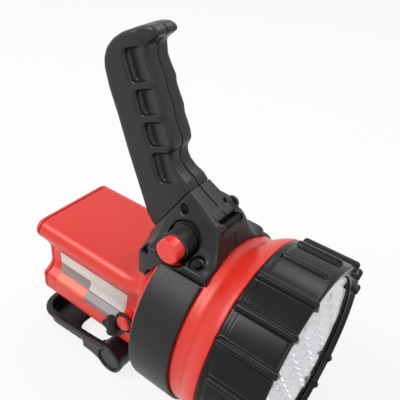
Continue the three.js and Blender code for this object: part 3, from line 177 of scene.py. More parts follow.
def moulded_plastic(name, colours, roughness, grain, depth, spread=0.08, **surface):
    """Injection-moulded plastic: a fine spark-eroded grain, slow colour drift, and slightly polished edges.

    The colours are the body's, its shade's and a worn edge's, and the grain has a width and a depth.
    Real grain is 0.1 to 0.2 mm wide, too fine for the render, so it is drawn several times as coarse."""
    colour, shade, worn = (hex_colour(c) for c in colours)
    material, tree, shader = new_material(name, **surface)
    place = add_node(tree, "ShaderNodeTexCoord").outputs["Object"]
    drift = add_node(tree, "ShaderNodeTexNoise", Vector=place, Scale=per_metre(COLOUR_DRIFT), Detail=3.0)
    stops = [(0.3, shade), (0.7, colour)]
    body = add_node(tree, "ShaderNodeValToRGB", stops=stops, i0=drift.outputs["Fac"])
    edge = add_node(tree, "ShaderNodeNewGeometry").outputs["Pointiness"]
    stops = [(EDGE_START, BLACK), (EDGE_FULL, WHITE)]
    mask = add_node(tree, "ShaderNodeValToRGB", stops=stops, i0=edge)
    scuffs = add_node(tree, "ShaderNodeTexNoise", Vector=place, Scale=per_metre(SCUFF), Detail=4.0)
    scuff = scuffs.outputs["Fac"]
    wear = add_node(tree, "ShaderNodeMath", {"operation": "MULTIPLY"}, i0=mask.outputs[0], i1=scuff)
    mixing = {"data_type": "RGBA"}
    tint = add_node(tree, "ShaderNodeMix", mixing, Factor=wear.outputs[0], A=body.outputs[0], B=worn)
    low, high = roughness - spread, roughness + spread
    rough = add_node(tree, "ShaderNodeMapRange", Value=scuff, To_Min=low, To_Max=high)
    bumps = add_node(tree, "ShaderNodeTexNoise", Vector=place, Scale=per_metre(grain), Detail=2.0)
    bump = add_node(tree, "ShaderNodeBump", Height=bumps.outputs["Fac"], Distance=depth * MM, Strength=1.0)
    connect(tree, shader, Base_Color=tint.outputs["Result"], Roughness=rough, Normal=bump)
    return material


# Red ABS with a fine moulded grain: a saturated tomato red with a broad satin highlight
red_abs = moulded_plastic(
    "moulded_red_abs", ("e3301f", "dc2a1a", "f4604c"), 0.34, grain=0.7, depth=0.015, IOR=1.53
)
# Black polypropylene, satin moulded: near black with wide grey highlights along its rounded edges
black_pp = moulded_plastic(
    "satin_black_polypropylene",
    ("17171a", "121215", "2c2c2f"),
    0.35,
    grain=0.6,
    depth=0.006,
    spread=0.05,
    IOR=1.49,
    Specular_IOR_Level=0.4,
)
# The same plastic from a coarsely eroded mould: a dark grey, dry, sandy surface
grained_pp = moulded_plastic(
    "grained_black_polypropylene",
    ("151517", "101012", "363638"),
    0.42,
    grain=0.8,
    depth=0.1,
    IOR=1.49,
    Specular_IOR_Level=0.38,
)
# Gloss black ABS: deep black with clear strip-light reflections
gloss_abs = moulded_plastic(
    "gloss_black_abs",
    ("0c0c0e", "09090b", "2a2a2c"),
    0.22,
    grain=0.9,
    depth=0.006,
    spread=0.05,
    IOR=1.53,
    Specular_IOR_Level=0.22,
)
# Black nylon of the switch bush and nut, moulded with a dull finish
black_nylon = moulded_plastic(
    "dull_black_nylon", ("101012", "0c0c0e", "303032"), 0.42, grain=0.5, depth=0.015, IOR=1.53
)
# Red push cap, polished mould: brighter and glossier than the body
red_cap = moulded_plastic(
    "polished_red_abs", ("f5352a", "f02e24", "ff6a5c"), 0.22, grain=0.9, depth=0.006, spread=0.05, IOR=1.53
)
# Soft black rubber: dry and dark, with only a faint sheen
black_rubber = moulded_plastic(
    "soft_black_rubber", ("19191a", "141415", "2c2c2d"), 0.78, grain=0.5, depth=0.03, IOR=1.52
)
# Red silicone of the rear seal, coloured a darker red than the body as painted shade for its narrow seam
seal_red_painted_shade = moulded_plastic(
    "red_silicone_seal_painted_shade", ("8c1d14", "7c1810", "a03024"), 0.7, grain=0.5, depth=0.02, IOR=1.42
)
# Battery case, plain moulded ABS: an even mid grey with a dull grain
grey_abs = moulded_plastic(
    "grey_battery_abs", ("464a52", "3e424a", "6a6e76"), 0.5, grain=0.8, depth=0.03, IOR=1.53
)


def machined_metal(name, colour, dark, roughness):
    """Turned steel with a plated or oxidised skin: faint rings, and dull patches about 3 mm wide.

    The real turning marks are some 0.1 mm apart. They are drawn 0.35 mm apart, so that they show."""
    material, tree, shader = new_material(name, Metallic=1.0)
    place = add_node(tree, "ShaderNodeTexCoord").outputs["Object"]
    patches = add_node(tree, "ShaderNodeTexNoise", Vector=place, Scale=per_metre(3.33), Detail=4.0)
    patch = patches.outputs["Fac"]
    stops = [(0.35, hex_colour(dark)), (0.7, hex_colour(colour))]
    plate = add_node(tree, "ShaderNodeValToRGB", stops=stops, i0=patch)
    low, high = roughness - 0.08, roughness + 0.08
    rough = add_node(tree, "ShaderNodeMapRange", Value=patch, To_Min=low, To_Max=high)
    rings = {"wave_type": "RINGS"}
    marks = add_node(tree, "ShaderNodeTexWave", rings, Vector=place, Scale=waves_per_metre(0.349))
    bump = add_node(tree, "ShaderNodeBump", Height=marks.outputs["Fac"], Distance=0.01 * MM, Strength=0.5)
    connect(tree, shader, Base_Color=plate, Roughness=rough, Normal=bump)
    return material


# Zinc-plated steel: pale grey metal with a soft bluish brightness
zinc_steel = machined_metal("zinc_plated_steel", "c4c7cb", "a9adb2", 0.32)
# Black-oxide steel screws and bar: dark metal with a dull shine
black_steel = machined_metal("black_oxide_steel", "2c2c2f", "1c1c1e", 0.45)


def make_reflector_metal():
    """Aluminium vapour on moulded plastic, under lacquer: a bright mirror with a faint orange peel.

    The haze is 8 mm wide and the orange peel 2 mm."""
    material, tree, shader = new_material("metallised_reflector", Metallic=1.0, Roughness=0.06)
    place = add_node(tree, "ShaderNodeTexCoord").outputs["Object"]
    haze = add_node(tree, "ShaderNodeTexNoise", Vector=place, Scale=per_metre(8.33), Detail=2.0)
    stops = [(0.3, hex_colour("c2c4ca")), (0.7, hex_colour("d8dadf"))]
    silver = add_node(tree, "ShaderNodeValToRGB", stops=stops, i0=haze.outputs["Fac"])
    peel = add_node(tree, "ShaderNodeTexNoise", Vector=place, Scale=per_metre(2.0), Detail=1.0)
    bump = add_node(tree, "ShaderNodeBump", Height=peel.outputs["Fac"], Distance=0.02 * MM, Strength=1.0)
    connect(tree, shader, Base_Color=silver, Normal=bump)
    return material


def make_clear_polycarbonate():
    """Clear moulded lens, a hard gloss over the bright cups, with a slight flow ripple 25 mm wide."""
    surface = {"IOR": 1.3, "Transmission_Weight": 1.0, "Roughness": 0.01, "Specular_IOR_Level": 0.25}
    material, tree, shader = new_material("clear_polycarbonate", **surface)
    place = add_node(tree, "ShaderNodeTexCoord").outputs["Object"]
    flow = add_node(tree, "ShaderNodeTexNoise", Vector=place, Scale=per_metre(25.0), Detail=1.0)
    stops = [(0.2, hex_colour("f7f9fa")), (0.8, WHITE)]
    tint = add_node(tree, "ShaderNodeValToRGB", stops=stops, i0=flow.outputs["Fac"])
    bump = add_node(tree, "ShaderNodeBump", Height=flow.outputs["Fac"], Distance=0.05 * MM, Strength=0.3)
    connect(tree, shader, Base_Color=tint, Normal=bump)
    return material


def make_board_finish():
    """Glass-epoxy board under green solder mask, with the faint weave of its glass cloth 0.5 mm apart."""
    material, tree, shader = new_material("solder_masked_board", Roughness=0.35, IOR=1.55)
    place = add_node(tree, "ShaderNodeTexCoord").outputs["Object"]
    bands = {"bands_direction": "Z"}
    weave = add_node(tree, "ShaderNodeTexWave", bands, Vector=place, Scale=waves_per_metre(0.5236))
    stops = [(0.2, hex_colour("1c5636")), (0.8, hex_colour("24643f"))]
    green = add_node(tree, "ShaderNodeValToRGB", stops=stops, i0=weave.outputs["Fac"])
    bump = add_node(tree, "ShaderNodeBump", Height=weave.outputs["Fac"], Distance=0.02 * MM, Strength=0.5)
    connect(tree, shader, Base_Color=green, Normal=bump)
    return material


def make_led_epoxy():
    """Cast epoxy of a white LED: a clear dome that looks milky, with a warm phosphor tone from within."""
    surface = {"IOR": 1.5, "Transmission_Weight": 0.3, "Roughness": 0.12}
    material, tree, shader = new_material("cast_led_epoxy", **surface)
    place = add_node(tree, "ShaderNodeTexCoord").outputs["Object"]
    cloud = add_node(tree, "ShaderNodeTexNoise", Vector=place, Scale=per_metre(4.0), Detail=2.0)
    stops = [(0.3, hex_colour("f3f0de")), (0.7, hex_colour("fbfaf2"))]
    milk = add_node(tree, "ShaderNodeValToRGB", stops=stops, i0=cloud.outputs["Fac"])
    bump = add_node(tree, "ShaderNodeBump", Height=cloud.outputs["Fac"], Distance=0.01 * MM, Strength=0.3)
    connect(tree, shader, Base_Color=milk, Normal=bump)
    return material


def printed_film(name, colour):
    """Printed vinyl film under a clear coat: even ink with a soft gloss that varies over 17 mm."""
    material, tree, shader = new_material(name, IOR=1.5)
    place = add_node(tree, "ShaderNodeTexCoord").outputs["Object"]
    drift = add_node(tree, "ShaderNodeTexNoise", Vector=place, Scale=per_metre(16.7), Detail=2.0)
    ink = hex_colour(colour)
    pale = tuple(min(1.0, c * 1.12) for c in ink[:3]) + (1.0,)
    stops = [(0.3, ink), (0.7, pale)]
    tint = add_node(tree, "ShaderNodeValToRGB", stops=stops, i0=drift.outputs["Fac"])
    rough = add_node(tree, "ShaderNodeMapRange", Value=drift.outputs["Fac"], To_Min=0.24, To_Max=0.34)
    connect(tree, shader, Base_Color=tint, Roughness=rough)
    return material


reflector_metal = make_reflector_metal()
clear_pc = make_clear_polycarbonate()
board_finish = make_board_finish()
led_epoxy = make_led_epoxy()

FINISHES = {
    "main_housing": red_abs,
    "rear_cover": red_abs,
    "stand_bracket": red_abs,
    "rear_seal": seal_red_painted_shade,
    "lens_gasket": black_rubber,
    "port_cap": black_rubber,
    "neck_band": grained_pp,
    "front_ring": gloss_abs,
    "base_left": black_pp,
    "base_right": black_pp,
    "grip_left": black_pp,
    "grip_right": black_pp,
    "side_cap": black_pp,
    "stand": black_pp,
    "stand_cap_near": black_pp,
    "stand_cap_far": black_pp,
    "switch_body": black_nylon,
    "switch_nut": black_nylon,
    "charge_socket": black_nylon,
    "switch_button": red_cap,
    "lens": clear_pc,
    "reflector": reflector_metal,
    "led_board": board_finish,
    "driver_board": board_finish,
    "battery": grey_abs,
}
BLACK_STEEL_NODES = ("base_screw", "grip_screw", "cover_screw", "strap_bar")


def finish_of(node):
    if node in FINISHES:
        return FINISHES[node]
    return black_steel if node.startswith(BLACK_STEEL_NODES) else zinc_steel


for name, node in nodes.items():
    node.data.materials.clear()
    node.data.materials.append(finish_of(name))

# Pieces

BODY_OF = {n: b for b, members in frame["record"]["behaviour"]["bodies"].items() for n in members}


def add_piece(name, mesh, material, like, stands_for=()):
    """Links a mesh as a named piece that rides with a CAD node's body, and may stand for it."""
    piece = bpy.data.objects.new(name, mesh)
    bpy.context.scene.collection.objects.link(piece)
    mesh.materials.clear()
    mesh.materials.append(material)
    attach(piece, BODY_OF[like])
    if stands_for:
        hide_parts(*stands_for)


def smooth_by_angle(mesh, degrees):
    """Smooth shading with sharp edges where faces meet at more than an angle."""
    for polygon in mesh.polygons:
        polygon.use_smooth = True
    mesh.set_sharp_from_angle(angle=math.radians(degrees))


# Corners closer than this, in metres, are one corner
SAME_PLACE = 0.000001


def new_mesh(name, points, faces, sharp_angle=40):
    """A mesh of design-frame points, with doubled corners merged and its faces turned outward."""
    shape = bmesh.new()
    corners = [shape.verts.new(at(*p)) for p in points]
    for face in faces:
        shape.faces.new([corners[i] for i in face])
    bmesh.ops.remove_doubles(shape, verts=shape.verts, dist=SAME_PLACE)
    bmesh.ops.dissolve_degenerate(shape, edges=shape.edges, dist=SAME_PLACE)
    bmesh.ops.recalc_face_normals(shape, faces=shape.faces)
    mesh = bpy.data.meshes.new(name)
    shape.to_mesh(mesh)
    shape.free()
    smooth_by_angle(mesh, sharp_angle)
    return mesh


def corners_of(mesh):
    """The corners of a mesh as rows of design-frame millimetres."""
    flat = np.empty(len(mesh.vertices) * 3)
    mesh.vertices.foreach_get("co", flat)
    return (flat.reshape(-1, 3) - np.array(DESIGN_ORIGIN)) / MM


def move_corners(mesh, points):
    mesh.vertices.foreach_set("co", (points * MM + np.array(DESIGN_ORIGIN)).ravel())
    mesh.update()


def grid_faces(rows, columns, wrap_rows=False, wrap_columns=False):
    """Four-sided faces over a grid of points that are stored row by row."""
    faces = []
    for r in range(rows if wrap_rows else rows - 1):
        for c in range(columns if wrap_columns else columns - 1):
            below = (r + 1) % rows
            beside = (c + 1) % columns
            near, far = r * columns, below * columns
            faces.append((near + c, near + beside, far + beside, far + c))
    return faces


def circle_points(y, z, radius, steps):
    angles = [math.tau * i / steps for i in range(steps)]
    return [(y + radius * math.cos(a), z + radius * math.sin(a)) for a in angles]


def turned(name, profile, steps, centre=(0, 0, 0), along="x", sharp_angle=40):
    """A closed profile of (distance along, radius) corners, turned round an axis through a centre."""
    points = []
    for distance, radius in profile:
        for across, up in circle_points(0, 0, radius, steps):
            ring = (distance, across, up) if along == "x" else (across, distance, up)
            points.append(tuple(c + p for c, p in zip(centre, ring)))
    return new_mesh(name, points, grid_faces(len(profile), steps, True, True), sharp_angle)


def moulded_skin(node, voxel, masses=()):
    """A CAD node's solid, and any masses added to it, as one even skin of small squares."""
    shape = bmesh.new()
    for mesh in (nodes[node].data, *masses):
        shape.from_mesh(mesh)
    joined = bpy.data.meshes.new("joined")
    shape.to_mesh(joined)
    shape.free()
    holder = bpy.data.objects.new("holder", joined)
    bpy.context.scene.collection.objects.link(holder)
    skin = holder.modifiers.new("skin", "REMESH")
    skin.mode = "VOXEL"
    skin.voxel_size = voxel * MM
    depsgraph = bpy.context.evaluated_depsgraph_get()
    result = bpy.data.meshes.new_from_object(holder.evaluated_get(depsgraph))
    bpy.data.objects.remove(holder)
    bpy.data.meshes.remove(joined)
    result.name = node + "_moulded"
    return result


def finish_moulded(node, mesh):
    """Shades an eased skin and puts it in the place of its CAD node."""
    smooth_by_angle(mesh, 60)
    add_piece(node + "_moulded", mesh, finish_of(node), node, [node])


def relax(mesh, rounds, share=None):
    """Moves each corner part of the way to the middle of its neighbours, so that edges round over."""
    points = corners_of(mesh)
    pairs = np.empty(len(mesh.edges) * 2, dtype=np.int64)
    mesh.edges.foreach_get("vertices", pairs)
    a, b = pairs.reshape(-1, 2).T
    count = len(points)
    degree = np.maximum(np.bincount(a, minlength=count) + np.bincount(b, minlength=count), 1)[:, None]
    step = 0.5 if share is None else 0.5 * share(points)[:, None]
    for _ in range(rounds):
        sums = [np.bincount(a, points[b, k], count) + np.bincount(b, points[a, k], count) for k in range(3)]
        points = points + step * (np.stack(sums, axis=1) / degree - points)
    move_corners(mesh, points)


def easing_from(seam_x, reach, least):
    """The share of easing along x: the least at a seam, and all of it from a reach away on."""
    return lambda points: np.clip((points[:, 0] - seam_x) / reach, least, 1)


def round_out(mesh, steps, x_low, x_high, radius_low):
    """Moves the flats of a turned CAD shape out to the circle through its corners.

    Only what lies further from the axis than radius_low, given as places along x and radii, is moved."""
    points = corners_of(mesh)
    x, y, z = points.T
    flat = math.tau / steps
    off_middle = np.mod(np.arctan2(y, z), flat) - flat / 2
    out = np.cos(off_middle) / math.cos(flat / 2)
    chosen = (x > x_low) & (x < x_high) & (np.hypot(y, z) > np.interp(x, *radius_low))
    points[:, 1:] *= np.where(chosen, out, 1.0)[:, None]
    move_corners(mesh, points)


def keep_in_box(mesh):
    """Holds the corners inside the box of the solids, which a rounded-out rim may pass by a hair."""
    low, high = ((np.array(corner) - np.array(DESIGN_ORIGIN)) / MM for corner in cad_bounds)
    move_corners(mesh, np.clip(corners_of(mesh), low, high))


def snap_to(mesh, skins, near, far):
    """Draws corners on to a finely drawn skin, wholly up to near and less and less up to far."""
    tree_points = []
    tree_faces = []
    for skin in skins:
        start = len(tree_points)
        tree_points += [v.co.copy() for v in skin.vertices]
        tree_faces += [tuple(start + i for i in p.vertices) for p in skin.polygons]
    tree = BVHTree.FromPolygons(tree_points, tree_faces)
    for vertex in mesh.vertices:
        place, _, _, distance = tree.find_nearest(vertex.co, far * MM)
        if place is None:
            continue
        share = min(1.0, (far * MM - distance) / ((far - near) * MM))
        vertex.co = vertex.co.lerp(place, share)
    mesh.update()


def smooth_curve(places, values, wanted):
    """A smooth curve through given values, by cubic pieces whose slopes come from the neighbours."""
    places, values = np.asarray(places, float), np.asarray(values, float)
    slope = np.gradient(values, places)
    k = np.clip(np.searchsorted(places, wanted, side="right") - 1, 0, len(places) - 2)
    span = places[k + 1] - places[k]
    t = (wanted - places[k]) / span
    rise = (1 + 2 * t) * (1 - t) ** 2 * values[k] + t * (1 - t) ** 2 * span * slope[k]
    return rise + t * t * (3 - 2 * t) * values[k + 1] + t * t * (t - 1) * span * slope[k + 1]


# Housing: the waisted body's outline, drawn with far more corners than the CAD solid has

BODY_TOP, BODY_BOTTOM = 26.6, -50.0
BODY_HALF_WIDTH, WAIST_HALF_WIDTH, FOOT_HALF_WIDTH = 40.8, 28.5, 38.5
CORNER_RADIUS = 9.0


def arc(y, z, start, end, steps):
    """One of the body's rounded corners, round its middle."""
    angle = np.radians(np.linspace(start, end, steps))
    return np.stack([y + CORNER_RADIUS * np.cos(angle), z + CORNER_RADIUS * np.sin(angle)], axis=1)


def pulled(p0, p1, p2, p3, steps):
    """A cubic curve from p0 to p3, pulled towards p1 and p2."""
    t = np.linspace(0, 1, steps)[:, None]
    p0, p1, p2, p3 = (np.array(p) for p in (p0, p1, p2, p3))
    return (1 - t) ** 3 * p0 + 3 * (1 - t) ** 2 * t * p1 + 3 * (1 - t) * t * t * p2 + t**3 * p3


def body_outline():
    """Half of the body's outline, from the middle of its top down its +Y side, then mirrored."""
    wide, waist, foot = BODY_HALF_WIDTH, WAIST_HALF_WIDTH, FOOT_HALF_WIDTH
    half = np.concatenate(
        [
            np.stack([np.linspace(0, 31.6, 9), np.full(9, BODY_TOP)], axis=1),
            arc(31.8, 17.6, 90, 0, 12),
            pulled((wide, 17.6), (wide, 12.1), (waist, 2.0), (waist, -7.0), 26)[1:],
            np.stack([np.full(5, waist), np.linspace(-8.5, -16.5, 5)], axis=1),
            pulled((waist, -18.0), (waist, -27.0), (foot, -25.0), (foot, -31.0), 22),
            np.stack([np.full(5, foot), np.linspace(-32.5, -39.5, 5)], axis=1),
            arc(29.5, -41.0, 0, -90, 12),
            np.stack([np.linspace(29.3, 0, 9), np.full(9, BODY_BOTTOM)], axis=1)[1:],
        ]
    )
    other = half[1:-1][::-1] * (-1, 1)
    return np.concatenate([half, other])


OUTLINE = body_outline()
# The +Y side alone, from the upper corner to the foot
SIDE = OUTLINE[9:74]


def side_y(z):
    """Half width of the body at a height on its side."""
    return np.interp(-z, -SIDE[:, 1], SIDE[:, 0])


def grown_outline(distance):
    """The outline moved out along its normals."""
    along = np.roll(OUTLINE, -1, axis=0) - np.roll(OUTLINE, 1, axis=0)
    along /= np.linalg.norm(along, axis=1)[:, None]
    return OUTLINE + distance * np.stack([-along[:, 1], along[:, 0]], axis=1)


def lofted(name, stations, capped=False):
    """A skin over outlines of equal counts, each in a plane across the beam axis."""
    points = [(x, y, z) for x, outline in stations for y, z in outline]
    count = len(stations[0][1])
    faces = grid_faces(len(stations), count, False, True)
    if capped:
        faces += [tuple(range(count)), tuple(range(len(points) - count, len(points)))]
    return new_mesh(name, points, faces)


# Along the beam axis: the body, the shoulder that turns its outline into a circle, the neck, and the flare
BODY_REAR, SHOULDER_REAR, SHOULDER_LENGTH = -183.6, -92.0, 27.5
NECK_REAR, NECK_FRONT, NECK_RADIUS = -60.3, -26.2, 65.4
LIP_RADIUS, FLARE_REAR, FLARE_LENGTH, FLARE_RISE = 66.0, -19.5, 19.2, 8.4
# Shares of the shoulder's length, with how far the outline has turned, and with its radius to the neck's
SHOULDER_TURN = [(0, 0), (0.22, 0.1), (0.42, 0.28), (0.6, 0.52), (0.76, 0.75), (0.9, 0.94), (1, 1)]
SHOULDER_RADIUS = [(0, 0.76), (0.22, 0.76), (0.42, 0.765), (0.6, 0.78), (0.76, 0.825)]
SHOULDER_RADIUS += [(0.9, 0.89), (1, 0.95)]
# Shares of the flare's length, with the share of its rise
FLARE = [(0, 0), (0.14, 0.07), (0.3, 0.3), (0.52, 0.61), (0.76, 0.87), (1, 1)]


def body_skin():
    angle = np.arctan2(OUTLINE[:, 1] + 12, OUTLINE[:, 0])
    circle = np.stack([np.cos(angle), np.sin(angle)], axis=1)
    stations = [(x, OUTLINE) for x in np.linspace(BODY_REAR, SHOULDER_REAR, 20)]
    for along in np.linspace(0.03, 1, 34):
        turn = float(smooth_curve(*zip(*SHOULDER_TURN), along))
        radius = NECK_RADIUS * float(smooth_curve(*zip(*SHOULDER_RADIUS), along))
        section = OUTLINE * (1 - turn) + circle * radius * turn
        stations.append((SHOULDER_REAR + SHOULDER_LENGTH * along, section))
    stations.append((NECK_REAR, circle * (NECK_RADIUS - 1.2)))
    return lofted("body_skin", stations)


def head_skin():
    profile = [(NECK_REAR, NECK_RADIUS), (NECK_FRONT, NECK_RADIUS)]
    places = [-26, -22.5, *(FLARE_REAR + FLARE_LENGTH * along for along, _ in FLARE)]
    radii = [LIP_RADIUS, LIP_RADIUS, *(LIP_RADIUS + FLARE_RISE * rise for _, rise in FLARE)]
    profile += [(x, float(smooth_curve(places, radii, x))) for x in np.linspace(-25.9, -0.3, 40)]
    points = [(x, *p) for x, radius in profile for p in circle_points(0, 0, radius, 180)]
    return new_mesh("head_skin", points, grid_faces(len(profile), 180, False, True))


# Rear cover: its flat face, and how deep its rounded edge goes
COVER_REAR, COVER_EDGE = -189.3, 4.6


def cover_skin():
    shares = [(0, 0.72), (0.1, 0.4), (0.27, 0.17), (0.5, 0.04), (0.75, 0), (1, 0)]
    stations = []
    for along in np.linspace(0, 1, 12) ** 1.6:
        inset = float(smooth_curve(*zip(*shares), along))
        stations.append((COVER_REAR + COVER_EDGE * along, grown_outline(-COVER_EDGE * inset)))
    return lofted("cover_skin", stations, True)


# The solids' head has 48 flats, and their ring and band have 60
HEAD_FLATS, RING_FLATS = 48, 60


def make_housing():
    mesh = moulded_skin("main_housing", 1.0)
    round_out(mesh, HEAD_FLATS, -60, 30, ([-60, -26, -19.5, 0, 30], [64, 64, 64.6, 70, 69.5]))
    relax(mesh, 4, easing_from(-183.5, 4, 0.12))
    snap_to(mesh, [body_skin(), head_skin()], 1.0, 1.7)
    relax(mesh, 2, easing_from(-183.5, 4, 0.1))
    finish_moulded("main_housing", mesh)


def make_cover():
    mesh = moulded_skin("rear_cover", 0.7)
    relax(mesh, 3, easing_from(-184.9, -2, 0.15))
    snap_to(mesh, [cover_skin()], 0.4, 0.9)
    relax(mesh, 2, easing_from(-184.9, -2, 0.1))
    finish_moulded("rear_cover", mesh)


make_housing()
make_cover()

# Pieces whose moulded edges round over: the size of the squares, and how many rounds of easing
EASED = {
    "grip_left": (0.6, 26),
    "grip_right": (0.6, 26),
    "base_left": (0.55, 18),
    "base_right": (0.55, 18),
    "stand": (0.7, 5),
    "stand_bracket": (0.6, 3),
    "stand_cap_near": (0.5, 3),
    "stand_cap_far": (0.5, 3),
    "port_cap": (0.32, 5),
}


def side_layers(name, layers):
    """A closed solid over outlines in x and z, each at its own y."""
    points = [(x, y, z) for y, outline in layers for x, z in outline]
    count = len(layers[0][1])
    faces = grid_faces(len(layers), count, False, True)
    faces += [tuple(range(count)), tuple(range(len(points) - count, len(points)))]
    return new_mesh(name, points, faces)


# The strap bar lies nearly flush: the mould fills its well behind and below it, and leaves a narrow slot
WELL_BACK = [(-43.0, 77.5), (-36.4, 77.5), (-36.4, 87.6), (-43.0, 91.2)]
WELL_FOOT = [(-41.2, 77.0), (-29.6, 77.0), (-31.3, 81.2), (-41.2, 81.2)]
# A low boss stands round the side plug
PLUG_BOSS = [(-57, 86), (-52.5, 93.6), (-45.4, 93.3), (-41.2, 92.3), (-36.6, 88.4)]
PLUG_BOSS += [(-33.2, 84.3), (-30.2, 79), (-31, 72), (-52, 72)]


def added_masses(node):
    if node == "base_left":
        return [side_layers("well", [(-10.6, o), (-0.2, o)]) for o in (WELL_BACK, WELL_FOOT)]
    if node == "base_right":
        boss = np.array(PLUG_BOSS)
        middle = boss.mean(axis=0)
        layers = [(9.5, boss), (13.6, boss), (14.8, middle + (boss - middle) * 0.93)]
        wells = [side_layers("well", [(0.2, o), (10.6, o)]) for o in (WELL_BACK, WELL_FOOT)]
        return wells + [side_layers("plug_boss", layers)]
    return []


# The swivel's axis: its unit direction and the point where it crosses the seam of grip and saddle
SWIVEL_X, SWIVEL_Z = -0.84704, 0.53153
SEAM_X, SEAM_Z = -73.2, 79.2
SADDLE_RADIUS = 67
# Easing is full from this far off a fit
FIT_REACH = 2.5


def keep_fits_crisp(points):
    """Less easing close to the parting plane, the swivel's seam and the neck."""
    x, y, z = points.T
    from_seam = np.abs(SWIVEL_X * (x - SEAM_X) + SWIVEL_Z * (z - SEAM_Z))
    from_neck = np.abs(np.hypot(y, z) - SADDLE_RADIUS)
    near = np.minimum(np.minimum(np.abs(y), from_seam), from_neck)
    return np.clip(near / FIT_REACH, 0.12, 1)


def make_eased():
    for node, (voxel, rounds) in EASED.items():
        mesh = moulded_skin(node, voxel, added_masses(node))
        relax(mesh, rounds, keep_fits_crisp if node.startswith(("grip", "base")) else None)
        finish_moulded(node, mesh)


def make_ring_and_band():
    ring = moulded_skin("front_ring", 0.6)
    round_out(ring, RING_FLATS, -1, 45, ([-1, 45], [66, 66]))
    relax(ring, 2)
    keep_in_box(ring)
    finish_moulded("front_ring", ring)
    band = moulded_skin("neck_band", 0.7)
    round_out(band, RING_FLATS, -62, -20, ([-62, -20], [60, 60]))
    relax(band, 4)
    finish_moulded("neck_band", band)


def make_side_plug():
    profile = [(13.0, 0), (13.0, 4.8), (14.9, 4.8), (15.25, 4.6), (15.4, 4.2), (15.2, 3.7), (15.15, 0)]
    mesh = turned("side_plug", profile, 48, (-41.5, 0, 88.4), "y", 60)
    add_piece("side_plug", mesh, black_pp, "side_cap", ["side_cap"])


make_eased()
make_ring_and_band()
make_side_plug()

# Lens, reflector and lamps

LENS_FRONT, LENS_REAR, LENS_CROWN, LENS_INSIDE = 36.2, 31.4, 37.1, 34.9
REFLECTOR_FRONT, REFLECTOR_REAR = 34.4, 10.7
REFLECTOR_RADIUS, REFLECTOR_REAR_RADIUS = 62.6, 65.5
FLANGE_FRONT, FLANGE_REAR, FLANGE_RADIUS = 29.2, 27.2, 70
CUP_PITCH, CUP_MOUTH, CUP_THROAT, CUP_FLOOR = 18.0, 8.3, 3.4, 16.5
CUP_STEPS, RIM_STEPS = 40, 128


def make_lens():
    # The crown stands up inside the ring's clamp, close over the cups, as on the real lamp
    profile = [(LENS_INSIDE, 0), (LENS_INSIDE, 62.4), (LENS_INSIDE, 62.8), (LENS_INSIDE - 0.3, 63.1)]
    profile += [(LENS_REAR, 63.2), (LENS_REAR, 69.6), (LENS_REAR + 0.4, 70), (LENS_FRONT - 0.4, 70)]
    profile += [(LENS_FRONT, 69.6), (LENS_FRONT, 66.1), (LENS_FRONT + 0.3, 65.8), (LENS_CROWN - 0.4, 65.5)]
    profile += [(LENS_CROWN - 0.1, 65.1), (LENS_CROWN, 64.5), (LENS_CROWN, 64.1), (LENS_CROWN, 0)]
    mesh = turned("lens_moulded", profile, 160, sharp_angle=30)
    add_piece("lens_moulded", mesh, clear_pc, "lens", ["lens"])


def cup_places():
    """The middles of the cups: one, then rings of 6, 12 and 18 on a hexagon."""
    places = [(0.0, 0.0)]
    for ring in (1, 2, 3):
        for corner in range(6):
            start, end = math.radians(60 * corner), math.radians(60 * corner + 60)
            for i in range(ring):
                share = i / ring
                y = (1 - share) * math.cos(start) + share * math.cos(end)
                z = (1 - share) * math.sin(start) + share * math.sin(end)
                places.append((ring * CUP_PITCH * y, ring * CUP_PITCH * z))
    return places


def holed_disc(x, radius, hole_radius):
    """Points and triangles of a flat disc with a hole at every cup."""
    loops = [circle_points(0, 0, radius, RIM_STEPS)]
    loops += [circle_points(y, z, hole_radius, CUP_STEPS) for y, z in cup_places()]
    flat, edges = [], []
    for loop in loops:
        start = len(flat)
        flat += [Vector(p) for p in loop]
        edges += [(start + i, start + (i + 1) % len(loop)) for i in range(len(loop))]
    places, _, faces, _, _, _ = delaunay_2d_cdt(flat, edges, [], 1, 0.00001)
    kept = []
    for face in faces:
        middle = sum((places[i] for i in face), Vector((0, 0))) / len(face)
        if all((middle - Vector(p)).length > hole_radius * 0.995 for p in cup_places()):
            kept.append(tuple(face))
    return [(x, p.x, p.y) for p in places], kept


def cup_profile():
    """A paraboloid from the throat at the lamp to the mouth, behind it a straight bore."""
    depth = REFLECTOR_FRONT - CUP_FLOOR
    widening = CUP_MOUTH**2 - CUP_THROAT**2
    radii = np.linspace(CUP_THROAT, CUP_MOUTH, 11)
    rows = [(CUP_FLOOR + depth * (r**2 - CUP_THROAT**2) / widening, r) for r in radii]
    return [(REFLECTOR_REAR, CUP_THROAT), *rows]


